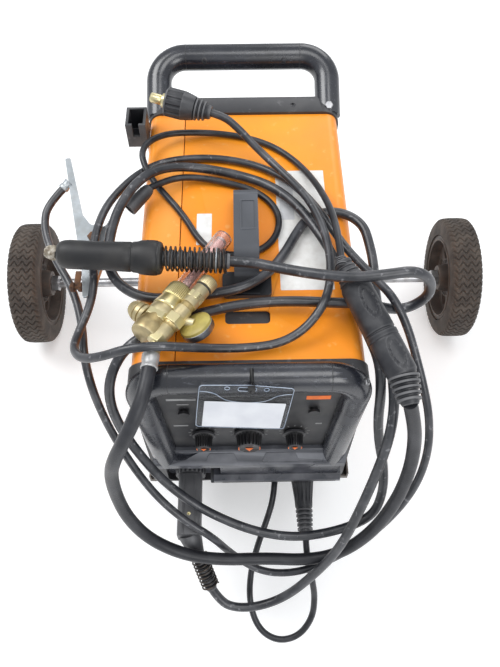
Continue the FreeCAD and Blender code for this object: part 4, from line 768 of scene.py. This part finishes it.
# %% Nozzle, its surface pushed about, as spatter builds up unevenly
CRUST_MM = 0.5
nozzle_way = GUN_ACROSS * 3.3 - GUN_WAY * 9.5 - GUN_UP * 1.7
nozzle_profile = [(0, 6.3), (2, 6.6), (3.4, 8.2), (6, 8.5), (9, 7.9), (12, 7.4), (14, 7.0), (14.2, 5.2),
    (9, 4.4)]
nozzle = spun("crusted_nozzle", nozzle_profile, GUN_START - GUN_WAY * 8, nozzle_way, spatter, sides=40,
    sharp=70, node="gun_nozzle", slot="nozzle_steel")
for vertex in nozzle.data.vertices:
    shift = Vector((random.uniform(-1, 1), random.uniform(-1, 1), random.uniform(-1, 1)))
    vertex.co += shift * CRUST_MM * MM

# %% [markdown]
# ## Ground clamp
# Two pressed zinc-plated jaws turn on a rusty bolt. The long fixed plate tapers to a narrow end with
# a small link. Flat outlines with rounded corners are enough; the zinc flakes come from the finish.

# %% Clamp
LOWER_JAW = [(-237, 76, 2), (-230, 77, 2), (-203, -22, 8), (-192, -38, 8), (-172, -42, 2), (-172, -62, 4),
    (-183, -100, 4), (-184, -146, 2), (-190, -147, 2), (-196, -100, 4), (-208, -52, 8)]
plate("clamp_long_jaw", [rounded(LOWER_JAW), circle(-179, -50, 2.6)], 2.6, zinc, lying_at(0, 0, 479.6),
    node="clamp_lower_jaw", slot="clamp_steel")
FLANGE = [(-235.5, 72, 1), (-231.5, 73, 1), (-205, -20, 6), (-194, -40, 6), (-198, -44, 4), (-209, -20, 6)]
plate("clamp_jaw_flange", [rounded(FLANGE)], 3.6, zinc, lying_at(0, 0, 476.6), slot="clamp_steel")
PIVOT = Vector((-186, -58, 470))
SMALL_HEAD = [(0, 5.4), (0.5, 6.2), (4, 6.2), (4.6, 5.4)]
hexagon("clamp_bolt_head", [(0, 6.8), (0.4, 7.5), (2.9, 7.5), (3.3, 6.6)], PIVOT + UP * 10.8, UP,
    rusty_steel)
hexagon("clamp_nut", [(0, 6.6), (0.4, 7.5), (3.9, 7.5), (4.3, 6.8)], PIVOT - UP * 7.6, UP, rusty_steel)
spun("clamp_bolt", [(0, 3.2), (1, 4), (17, 4)], PIVOT - UP * 6, UP, rusty_steel, sides=24)
LINK = Vector((-207, -128, 474))
plate("clamp_link", [rounded([(-3.5, -12, 3), (3.5, -12, 3), (3.5, 12, 1), (-3.5, 12, 1)])], 2.4,
    rusty_steel, lying_at(-200, -117, 474))
hexagon("clamp_link_bolt", SMALL_HEAD, LINK, (1, 0, 0), rusty_steel)
spun("clamp_link_pin", [(-1.5, 2.4), (-1, 3), (17, 3)], LINK, (1, 0, 0), rusty_steel, sides=24)
hexagon("clamp_link_nut", [(9, 5.4), (9.5, 6.2), (13, 6.2), (13.6, 5.4)], LINK, (1, 0, 0), rusty_steel)
FERRULE_END = Vector((-234, 26, 477))
ferrule_way = (FERRULE_END - Vector((-254, 7, 467))).normalized()
spun("clamp_ferrule", capped([(0, 6.5), (4, 6.5), (5, 5.8), (9, 5.8), (12.5, 6.4)]),
    FERRULE_END - ferrule_way, ferrule_way, zinc, sides=36)

# %% [markdown]
# ## Gas regulator
# The regulator is turned and milled brass: a bell-ended body, a side valve with hexagon collars and a
# knurled cap, a barrel-shaped inlet nut, a gauge, and a clear flow tube in a knurled cup. Hexagons
# are the same spun shape with six sides, which is how bar stock looks after facing.

# %% Regulator body
REG_START = Vector((-112, -213, 500.5))
REG_WAY = Vector((0.5, 0.864, -0.086)).normalized()
VALVE_FACE, VALVE_WAY = Vector((-49, -152.7, 503)), Vector((48, 65.3, 0)).normalized()
VALVE_TAIL = Vector((-97, -218, 503))
spun("regulator_bell", capped([(0, 17.2), (3, 17.6), (11, 18), (15, 17.4), (26, 15.6), (38, 15.4)], 1.2),
    REG_START, REG_WAY, brass, sides=72, node="regulator_body", slot="brass_part")
knurl = flutes(46, 0.7, 57, 73.5, 0.6)
cup_profile = [(40, 13), (40.6, 15.8), (42, 16.6), (50, 15.2), (55, 14.2), (56, 14.2), (57, 15),
    (58, 15.3), (66, 15.3), (73, 15.3), (74.5, 14.6), (76, 13.2)]
spun("regulator_cup", cup_profile, REG_START, REG_WAY, bright_brass, sides=184, cut=knurl)
hexagon("regulator_collar", [(20, 16.5), (20.8, 18.4), (29, 18.4), (30, 16.5)], REG_START, REG_WAY,
    bright_brass)
spun("regulator_neck", [(28, 15.9), (34, 16.4), (39, 15.9), (42, 14.0)], REG_START, REG_WAY, brass)
plate("regulator_block", [oblong(18, 18, 2)], 14, brass, lying_at(-79, -187, 499), width_mm=0.8,
    slot="brass_part")

# %% Side valve, inlet and gauge
valve_length = (VALVE_FACE - VALVE_TAIL).length
valve_profile = [(0, 8.6), (1, 9.5), (16, 9.5), (17, 9.0), (20, 9.0), (21, 9.5), (46, 9.5), (47, 8.4),
    (52, 8.4), (53, 9.5), (valve_length - 1, 9.5), (valve_length, 8.8)]
spun("valve_barrel", valve_profile, VALVE_TAIL, VALVE_WAY, brass)
for name, profile in (("tail_nut", [(-7, 9), (-6, 10.9), (3, 10.9), (4, 9.6)]),
                      ("collar", [(21, 10), (22, 12), (33, 12), (34, 10)]),
                      ("head", [(60, 9.6), (61, 10.8), (69, 10.8), (70, 9.6)])):
    hexagon("valve_" + name, profile, VALVE_TAIL, VALVE_WAY, bright_brass)
cap_profile = [(0.4, 7.2), (0.9, 10.2), (1.6, 10.6), (11, 10.6), (12.4, 10.0), (13.6, 8.6), (14, 7.0)]
spun("flow_dial_cap", cap_profile, VALVE_FACE, VALVE_WAY, brass, "flow_dial", 120,
    flutes(36, 0.6, 3, 11, 0.6), node="regulator_knob", slot="brass_part")
ring("valve_oring", VALVE_FACE - VALVE_WAY * 0.8, VALVE_WAY, 9.3, 0.9, knob_black)
INLET_ROOT, INLET_FACE = REG_START + REG_WAY * 22, Vector((-117, -181.5, 498))
inlet_way = (INLET_FACE - INLET_ROOT).normalized()
inlet_profile = [(0, 9), (13, 9), (14, 11.6), (16, 12.4), (18, 12.4), (18.8, 11.6), (19.6, 12.6),
    (24, 12.4), (25, 11.4), (26, 12.0), (30, 10.6), (33.5, 8.6), (35.5, 6.8)]
spun("inlet_nut", inlet_profile, INLET_ROOT, inlet_way, brass, sides=54)
GAUGE, GAUGE_WAY = Vector((-56, -198, 493)), Vector((0.43, -0.31, -0.85)).normalized()
spun("gauge_shell", [(-8, 12), (-7, 14.4), (-6.4, 17.4), (-5.4, 18.6), (-2, 18.8)], GAUGE, GAUGE_WAY,
    gauge_back)
spun("gauge_rim", [(-2.4, 18.6), (-2, 19.2), (4, 19.2), (6, 18.4), (6.6, 17.2), (6, 16.2), (5.4, 16.0)],
    GAUGE, GAUGE_WAY, aluminium)
spun("gauge_face", [(4.9, 16.4), (5.4, 16.4)], GAUGE, GAUGE_WAY, card_paper, sides=48)
spun("gauge_lens", [(5.6, 16.2), (6.1, 16.0), (6.4, 9.0), (6.5, 0.1)], GAUGE, GAUGE_WAY, clear_tube,
    sides=48)
gauge_back_end = GAUGE - GAUGE_WAY * 6
STEM_ROOT = Vector((-80, -189, 497))
spun("gauge_stem", [(0, 5), (22, 5)], STEM_ROOT, gauge_back_end - STEM_ROOT, brass, sides=32)

# %% Hose ferrule
HOSE_END = Vector((-104, -248, 502))
hose_way = (HOSE_END - Vector((-106, -276, 501))).normalized()
spun("hose_barb", [(0, 7), (12, 7), (26, 7)], HOSE_END, VALVE_TAIL - HOSE_END, brass, sides=40)
spun("hose_ferrule", capped([(-6, 9.3), (-4, 9.3), (-3, 8.8), (3, 8.8), (4, 9.4), (11, 9.4)], 0.6),
    HOSE_END, hose_way, crimp, sides=48)

# %% Flow tube
tube_profile = [(76.2, 9.8), (76.2, 11.1), (168, 11.1), (171, 10.6), (172, 9.4), (172, 0.2), (169.8, 0.2),
    (169.6, 9.2), (168, 9.6), (76.4, 9.7)]
spun("flow_tube_clear", tube_profile, REG_START, REG_WAY, clear_tube, sides=56, node="flow_tube",
    slot="clear_tube")
spun("flow_column_tube", [(76, 5.2), (120, 5.7), (160, 6.4), (161, 5.8)], REG_START, REG_WAY, column_pink,
    sides=32)
spun("flow_tube_stop", [(160, 4.6), (160.4, 7.6), (163, 7.6), (163.4, 5.0)], REG_START, REG_WAY, steel,
    sides=32)

# %% [markdown]
# ## Plugs, coupler and sleeves
# These are moulded rubber over metal. What tells them apart is their surface: grip flutes on the round
# plugs, soft rings where a boot has to bend, and shallow oval thumb marks on the two halves of the
# coupler. Rings and flutes are cut in the spun profile itself, so they show in the outline too.

# %% Brass current plug of the ground lead
PLUG_START, PLUG_END = Vector((-122, 135, 530)), Vector((-43, 115, 520))
PLUG_WAY = (PLUG_END - PLUG_START).normalized()
plug_length = (PLUG_END - PLUG_START).length
spun("ground_plug_pin", [(0, 3.4), (0.6, 5.4), (2, 6.5), (14, 6.5), (15, 5.8), (16, 5.8), (16.4, 8.8),
    (17.6, 9.2), (23, 9.2)], PLUG_START, PLUG_WAY, bright_brass, sides=48)
sleeve_profile = [(20.5, 13.5), (21.2, 16.2), (22.4, 18), (23.9, 18.5), (24, 18.5), (30, 18.5), (37, 18.5),
    (44, 18.4), (44.1, 18.5), (46, 18.2), (54, 16.6), (60, 15)]
sleeve_profile += ribbed(61, 77, 5.3, 12.6, 14.6, 3.6) + [(79, 9.2), (plug_length, 8.2)]
plug_sleeve = moulded("ground_plug_sleeve", sleeve_profile, PLUG_START, PLUG_WAY, 144, node="cable_plug",
    cut=flutes(12, 1.6, 24, 44, 0.42))

# %% Coupler
COUPLER_START = Vector((107, -131, 519.2))
COUPLER_WAY = Vector((47, -105, -26.2)).normalized()
front_half = [(-1, 8), (0, 9.8), (4, 10.2), (5, 9.4), (9, 11.6), (10, 10.8), (15, 13.0), (16, 12.2),
    (21, 14.6), (22, 13.8), (27, 16.0), (28, 15.2), (32, 16.8), (34, 17.4), (90, 17.4), (91, 16.4),
    (92, 16.4)]
rear_half = [(91.8, 16.4), (92.6, 16.4), (93.6, 17.8), (99, 17.8), (100, 17.0), (101, 17.5), (134, 17.3),
    (142, 16.8), (144, 15.4), (147, 14.0)]


def thumb_marks(distance, angle):
    """Shallow ovals on the top of both halves, with a groove round each."""
    taken = 0.0
    top = math.atan2(math.sin(angle - math.pi / 2), math.cos(angle - math.pi / 2))
    for middle, reach in ((58, 17), (121, 16)):
        u, v = (distance - middle) / reach, top / 0.42
        oval = math.sqrt(u * u + v * v)
        if oval < 1.0:
            taken += 0.5
        if 0.9 < oval < 1.15:
            taken += 0.7
    return taken


def close_set(profile, reach=1.2):
    """The profile with extra points, so that its cut has detail along it."""
    close = []
    for (d0, r0), (d1, r1) in zip(profile, profile[1:]):
        count = max(1, int(abs(d1 - d0) / reach))
        close += [(d0 + (d1 - d0) * k / count, r0 + (r1 - r0) * k / count) for k in range(count)]
    return close + [profile[-1]]


for name, profile in (("coupler_front", front_half), ("coupler_rear", rear_half)):
    moulded(name, close_set(profile), COUPLER_START, COUPLER_WAY, 120, node="cable_coupler",
        cut=thumb_marks)
TORCH_EXIT = Vector((106, -127, 520))
torch_way = (Vector((106, -98, 518)) - TORCH_EXIT).normalized()
moulded("coupler_neck", [(-15, 8)] + ribbed(-12, 0, 3, 6.6, 8.0, 1.2), TORCH_EXIT, torch_way, 40)
HOSE_MOUTH = Vector((169, -288, 480))
mouth_way = HOSE_MOUTH - (COUPLER_START + COUPLER_WAY * 144)
mouth_start = -mouth_way.length
mouth_profile = [(mouth_start, 13.6)] + ribbed(mouth_start + 0.6, 1, 6, 14.4, 17.2, 5.0) + [(2, 9.0)]
moulded("coupler_outlet", mouth_profile, HOSE_MOUTH, mouth_way.normalized(), 72)

# %% Gun connector at the machine
GUN_SOCKET = Vector((-82, -244, 206))
spun("gun_connector_nut", capped([(0, 21), (4, 21), (5, 20), (6, 20), (7, 21), (20, 21)], 1.0), GUN_SOCKET,
    FORWARD, moulded_rubber, sides=120, cut=flutes(20, 1.0, 6.5, 21, 0.5))
grip = plate("gun_connector_grip", [oblong(32, 32, 7)], 86, moulded_rubber, facing_front(-82, -307, 206),
    width_mm=1.6, node="mig_connector", slot="plug_rubber")
for side, word in SIDES:
    rail = [(side * 9.5, -42, 1), (side * 9.5, 40, 1), (side * 6.5, 40, 1), (side * 6.5, -42, 1)]
    plate("gun_connector_rail_" + word, [rounded(rail)], 1.2, moulded_rubber, lying_at(-82, -307, 222.3),
        slot="plug_rubber")
spun("gun_connector_screw", [(-1, 2.6), (0.4, 2.6), (0.8, 1.9), (0.3, 0.4)], Vector((-82, -322, 222)), UP,
    bright_brass, sides=24)
BOOT_START, BOOT_END = Vector((-81, -346, 204)), Vector((-54, -403, 146))
BOOT_WAY = (BOOT_END - BOOT_START).normalized()
boot_length = (BOOT_END - BOOT_START).length
boot_ribs = ribbed(32, boot_length - 3, 4.2, 7.4, 8.8, 0.3)
boot_profile = [(-4, 13), (0, 15), (10, 13.6), (24, 10.4), (30, 9.2)] + boot_ribs + [(boot_length, 7.2)]
moulded("gun_connector_boot", boot_profile, BOOT_START, BOOT_WAY, 48)
connector_guard = bend_guard("gun_connector_guard", BOOT_START + BOOT_WAY * 32, BOOT_END - BOOT_WAY * 3,
    11.4, 9)

# %% Current plug of the polarity lead
polarity_profile = [(0, 15.2), (1, 16), (8, 16), (9, 15.2), (10, 15.2), (11, 16), (18, 16), (30, 14.6),
    (44, 13), (56, 12.2)] + ribbed(60, 92, 6.4, 9.8, 12, 1.6) + [(94, 7.6)]
polarity_plug = moulded("polarity_plug", polarity_profile, (77, -244, 171), FORWARD, 112,
    node="dinse_plug", cut=flutes(14, 1.3, 20, 44, 0.42))

# %% Open sleeve at the free end of the thin lead
SLEEVE_MOUTH, SLEEVE_REAR = Vector((-147, -10, 476)), Vector((-121, 18, 485))
sleeve_way = (SLEEVE_REAR - SLEEVE_MOUTH).normalized()
sleeve_length = (SLEEVE_REAR - SLEEVE_MOUTH).length
open_profile = [(13, 0.2), (13, 6.4), (0.6, 6.6), (0, 7.4), (0, 8.8), (0.8, 9.5), (12, 9.2), (30, 8.6),
    (36, 7.4), (sleeve_length, 5.6)]
torch_sleeve = moulded("torch_sleeve", open_profile, SLEEVE_MOUTH, sleeve_way, 56, node="torch_handle")

# %% [markdown]
# ## Front: bar, tag, knobs and marks
# The bumper bar is a moulded tube in three lengths, so it shows two thin seams and a screw near each
# bend. A clear card holder hangs from it on a cable tie. Its card is blank. The knobs carry an orange
# pointer and two short orange arcs, and small grey dashes stand for the printed scales.

# %% Bar seams and screws
BAR_Y, BAR_Z, BAR_RADIUS = -252.5, 475.0, 16.5
for number, x in enumerate((-87, 89)):
    ring("bar_seam_%d" % number, (x, BAR_Y, BAR_Z), (1, 0, 0), BAR_RADIUS - 0.15, 0.5, knob_black)
BEND_X, BEND_Z, BEND_RADIUS = 88.0, 439.0, 36.0
for name, side, turn, way in (("bar_screw_left", -1, 60, (-0.35, -0.6, 0.72)),
                              ("bar_screw_right", 1, 35, (0.72, -0.25, 0.64))):
    angle = math.radians(turn)
    centre = Vector((side * (BEND_X + BEND_RADIUS * math.cos(angle)), BAR_Y,
        BEND_Z + BEND_RADIUS * math.sin(angle)))
    way = Vector(way).normalized()
    screw(name, centre + way * (BAR_RADIUS - 0.2), way, 4.2, steel)

# %% Knobs
KNOB_FACE, KNOB_Z, PANEL_FRONT = -274.0, 328.0, -252.0
for name, x, radius, body in (("centre", 0, 16, "centre_dial"), ("left", -57, 11, "left_dial"),
                              ("right", 57, 11, "right_dial")):
    profile = [(1.8, radius + 1), (2.4, radius + 3), (5, radius + 3), (6, radius + 0.6), (8, radius),
        (18, radius - 1), (20.4, radius - 1.3), (21.6, radius - 2), (22, radius - 3.4),
        (21.4, radius - 4.4), (21.4, 0.1)]
    spun(name + "_knob_fluted", profile, (x, PANEL_FRONT, KNOB_Z), FORWARD, knob_black, body, 160,
        flutes(20, 1.3, 8, 20.6, 0.45), node=name + "_knob", slot="knob_plastic")
    inset = radius - 2.6
    for side in (-1, 1):
        arc = [(x + side * inset * math.cos(a), KNOB_FACE + 0.1, KNOB_Z + inset * math.sin(a))
            for a in [math.radians(k) for k in (-18, -9, 0, 9, 18)]]
        thick_line("%s_knob_arc_%d" % (name, side), arc, 0.5, marking_orange, body)
    half, tip = radius * 0.3, radius * 0.52
    pointer = [(-half, half * 0.2), (half, half * 0.2), (0, -tip)]
    plate(name + "_knob_pointer", [pointer], 0.5, marking_orange, facing_front(x, KNOB_FACE + 0.1, KNOB_Z),
        body, width_mm=0.1)
    for step in range(11):
        angle = math.radians(-135 + 27 * step)
        out = Vector((math.sin(angle), 0, math.cos(angle)))
        middle = Vector((x, PANEL_FRONT - 0.05, KNOB_Z)) + out * (radius + 7)
        tick = [(-0.4, -1.6), (0.4, -1.6), (0.4, 1.6), (-0.4, 1.6)]
        turned = Matrix.Rotation(angle, 4, "Y") @ Matrix.Rotation(math.pi / 2, 4, "X")
        plate("%s_scale_%d" % (name, step), [tick], 0.3, marking_grey,
            Matrix.Translation(middle * MM) @ turned, width_mm=0.05)

# %% Panel marks, display and screws
for name, x, z, wide, tall, finish in (("mark_left_top", -78, 424, 34, 5, marking_grey),
        ("mark_right_top", 80, 424, 28, 9, marking_orange), ("mark_left_low", -84, 352, 18, 3,
        marking_grey), ("mark_right_low", 86, 352, 8, 3, marking_grey),
        ("mark_left_button", -77, 411, 14, 2, marking_grey), ("mark_right_button", 77, 379, 10, 2,
        marking_orange)):
    plate(name, [oblong(wide, tall, 0.8)], 0.3, finish, facing_front(x, PANEL_FRONT - 0.1, z),
        width_mm=0.08)
plate("display_window", [oblong(80, 44, 3)], 0.6, dark_glass, facing_front(0, PANEL_FRONT - 2.1, 408),
    width_mm=0.1)
for side in (-1, 1):
    for z in (300, 430):
        screw("panel_screw_%d_%d" % (side, z), (side * 106, PANEL_FRONT + 0.2, z), FORWARD, 3.4, knob_black)

# %% Pads on the ledge, and painted shade for the grooves in the lip
for name, x0, x1, y, z, tall, lean in (
        ("pad_left", -58, -15, -263.6, 273.4, 15, 61.4), ("pad_right", 17, 66, -263.6, 273.4, 15, 61.4),
        ("pad_low_left", -84, -62, -269.9, 256.5, 8, 90), ("pad_low_right", 82, 112, -269.9, 256.5, 8, 90)):
    half, rise = (x1 - x0) / 2, tall / 2
    corners = [(-half, -rise, 1.5), (half, -rise, 1.5), (half - 5, rise, 3), (-half + 5, rise, 3)]
    plate("ledge_" + name, [rounded(corners)], 1.6, ledge_black,
        Matrix.Translation(at((x0 + x1) / 2, y, z)) @ Matrix.Rotation(math.radians(lean), 4, "X"),
        width_mm=0.5)
# The grooves are not cut: each is a thin near-black strip, painted shade where the groove is dark.
for number, z in enumerate((194.0, 198.0)):
    plate("lip_groove_shade_%d" % number, [oblong(160, 1, 0.4)], 0.5, knob_black, facing_front(42, -270.0, z),
        width_mm=0.1)

# %% Card holder
TAG_BACK, TAG_Z = BAR_Y - 18.1, 451.5
TAG_TILT = (Matrix.Translation(at(0, TAG_BACK, BAR_Z)) @ Matrix.Rotation(math.radians(6.5), 4, "Y")
    @ Matrix.Rotation(math.radians(-8), 4, "X") @ Matrix.Translation(at(0, -TAG_BACK, -BAR_Z)))
holder_outline = rounded([(-54, -42.5, 6), (47, -42.5, 6), (47, 38, 6), (-3, 42.5, 60), (-54, 38, 6)])
slot_hole = rounded([(-12, 30.8, 2.4), (6, 30.8, 2.4), (6, 36, 2.4), (-12, 36, 2.4)])
plate("card_holder", [holder_outline, slot_hole, circle(-24.5, 34, 2.2), circle(17.5, 34, 2.2)], 1.0,
    clear_sheet, TAG_TILT @ facing_front(0, TAG_BACK - 1.6, TAG_Z), width_mm=0.2, node="tag",
    slot="tag_plastic")
# The rim, the pocket seam and the slot and hole edges are thin pale lines of painted highlight.
for name, corners in (("rim", [(-54, -42.5), (47, -42.5), (47, 38), (-3, 41), (-54, 38)]),
                      ("pocket", [(-53, 27), (-38, 27), (-26, 11), (-3, 8), (20, 11), (32, 26), (46, 27)]),
                      ("slot_edge", [(-12.8, 30), (6.8, 30), (6.8, 36.8), (-12.8, 36.8)]),
                      ("left_hole_edge", [(-27.2, 31.3), (-21.8, 31.3), (-21.8, 36.7), (-27.2, 36.7)]),
                      ("right_hole_edge", [(14.8, 31.3), (20.2, 31.3), (20.2, 36.7), (14.8, 36.7)])):
    bend = 2.6 if name.endswith("edge") else 5
    outline = corners if name == "pocket" else rounded([(x, z, bend) for x, z in corners], 3)
    points = [TAG_TILT @ at(x, TAG_BACK - 2.2, TAG_Z + z) / MM for x, z in outline]
    thick_line("card_holder_" + name, points, 0.4, sheet_edge_highlight, closed=name != "pocket", resolution=4,
        slot="tag_plastic")
card_place = TAG_TILT @ facing_front(-2.5, TAG_BACK - 2.7, 436)
plate("blank_card", [oblong(89, 50, 1)], 0.5, card_paper, card_place, width_mm=0.1, slot="tag_plastic")
tie_points = [(3, -250.6, 492.6)] + [(3, BAR_Y - 17.4 * math.sin(a), BAR_Z + 17.4 * math.cos(a))
    for a in [math.radians(k) for k in (15, 40, 65, 90)]]
thick_line("tie_strap", tie_points, 2.1, tie_black)
thick_line("tie_drop", [(3, -271, 480), (2.6, -273.4, 487), (2.2, -275, 490), (1.6, -275.6, 486)], 1.7,
    tie_black)
plate("tie_head", [oblong(8, 8, 1)], 5, tie_black, facing_front(2.5, -273.0, 489), width_mm=0.5)

# %% [markdown]
# ## Top, rear and carry handle
# The top has a small blank label by the seam and a large one at the right with a greyer panel. The
# carry grip has a raised frame, which stays empty. The rear handle is screwed together like the bar.

# %% Labels and carry grip
TOP_Z = 466.0


def label(name, x0, x1, y0, y1, finish, z=TOP_Z):
    """A thin stuck-on label seen from above."""
    plate(name, [oblong(x1 - x0, y1 - y0, 1)], 0.24, finish, lying_at((x0 + x1) / 2, (y0 + y1) / 2,
        z + 0.1), width_mm=0.05)


label("small_label", -62, -43, -61, -10, label_paper)
label("large_label", 40, 104, -131, 63, label_paper)
label("large_label_panel", 44, 62, -22, 58, label_grey, TOP_Z + 0.1)
GRIP_TOP = 500.0
plate("grip_raised_frame", [oblong(19, 47, 2), oblong(14.8, 42.8, 1.5)], 1.6, grip_black,
    lying_at(2.5, -41.5, GRIP_TOP), width_mm=0.4)

# %% Screws and bolts on the handles
REAR_Y, REAR_Z, REAR_RADIUS = 268.0, 490.0, 18.0
front_face = Vector((0, -0.93, 0.37)).normalized()
for name, x in (("left", -55), ("right", 59)):
    screw("rear_screw_" + name, Vector((x, REAR_Y, REAR_Z)) + front_face * (REAR_RADIUS - 0.8), front_face,
        4.6, knob_black)
for side, word in SIDES:
    way = Vector((side * 0.1, -0.85, 0.3)).normalized()
    screw("rear_bend_screw_" + word, Vector((side * 116, 247, 480)) + way * 17.0, way, 4.6, knob_black)
    ring("rear_seam_" + word, (side * 82, REAR_Y, REAR_Z), (1, 0, 0), REAR_RADIUS - 0.15, 0.5, knob_black)
screw("crossbar_screw", (70, 188, 470), UP, 4.0, knob_black)
hexagon("handle_bolt", SMALL_HEAD, (121.5, 187, 468), (0, -0.42, 0.9), steel)

# %% [markdown]
# ## Wheels
# Both wheels have a solid rubber tyre, grey-brown with dust, and a moulded rim. Wavy grooves are cut
# across the tread of the spun profile.

# %% Tyres
WHEEL_RADIUS, WHEEL_X, AXLE_Y, RIM_RADIUS, TYRE_HALF = 108.0, 378.0, 144.0, 78.0, 25.0
GROOVES, GROOVE_DEPTH, WAVE_LENGTH, TREAD_HALF = 57, 1.8, 14, 23.5


def tread(distance, angle):
    """Wavy grooves across the tread, one every 12 mm round the wheel."""
    if abs(distance) > TREAD_HALF:
        return 0.0
    turns = GROOVES * angle / (2 * math.pi) + 0.3 * math.sin(2 * math.pi * distance / WAVE_LENGTH)
    return GROOVE_DEPTH if turns % 1.0 < 0.27 else 0.0


wall = [(-TYRE_HALF, RIM_RADIUS), (-TYRE_HALF - 0.4, 84), (-TYRE_HALF, 92),
    (-TYRE_HALF + 0.6, WHEEL_RADIUS - 12)]
rise = [(-TYRE_HALF + 1.5, WHEEL_RADIUS - 5.5), (-TYRE_HALF + 5, WHEEL_RADIUS - 1.6),
    (-TYRE_HALF + 9, WHEEL_RADIUS - 0.6), (-8, WHEEL_RADIUS), (-2.4, WHEEL_RADIUS)]
crown = rise + [(-d, r) for d, r in reversed(rise)]
tyre_profile = wall + close_set(crown, 1.3) + [(-d, r) for d, r in reversed(wall)]
tyre_profile += [(TYRE_HALF, RIM_RADIUS - 1), (-TYRE_HALF, RIM_RADIUS - 1)]
for side, word in SIDES:
    body, hub = word + "_wheel", Vector((side * WHEEL_X, AXLE_Y, WHEEL_RADIUS))
    tyre = spun(word + "_tyre_tread", tyre_profile, hub, (1, 0, 0), tyre_rubber, body, 640, tread, 40,
        node=word + "_tyre", slot="tyre_rubber")
    bm = bmesh.new()
    bm.from_mesh(tyre.data)
    caps = [face for face in bm.faces if len(face.verts) > 4]
    bmesh.ops.delete(bm, geom=caps, context="FACES_ONLY")
    bm.to_mesh(tyre.data)
    bm.free()
    for reach, depth, thickness in ((70, 23.2, 1.6), (34, 9, 1.2)):
        for face in (-1, 1):
            ring("%s_rim_ring_%d_%d" % (word, reach, face), hub + Vector((depth * face, 0, 0)), (1, 0, 0),
                reach, thickness, rim_plastic, body, slot="rim_plastic")

# %% [markdown]
# ## Last step
# The view layer is brought up to date.

# %% Update the view layer
bpy.context.view_layer.update()
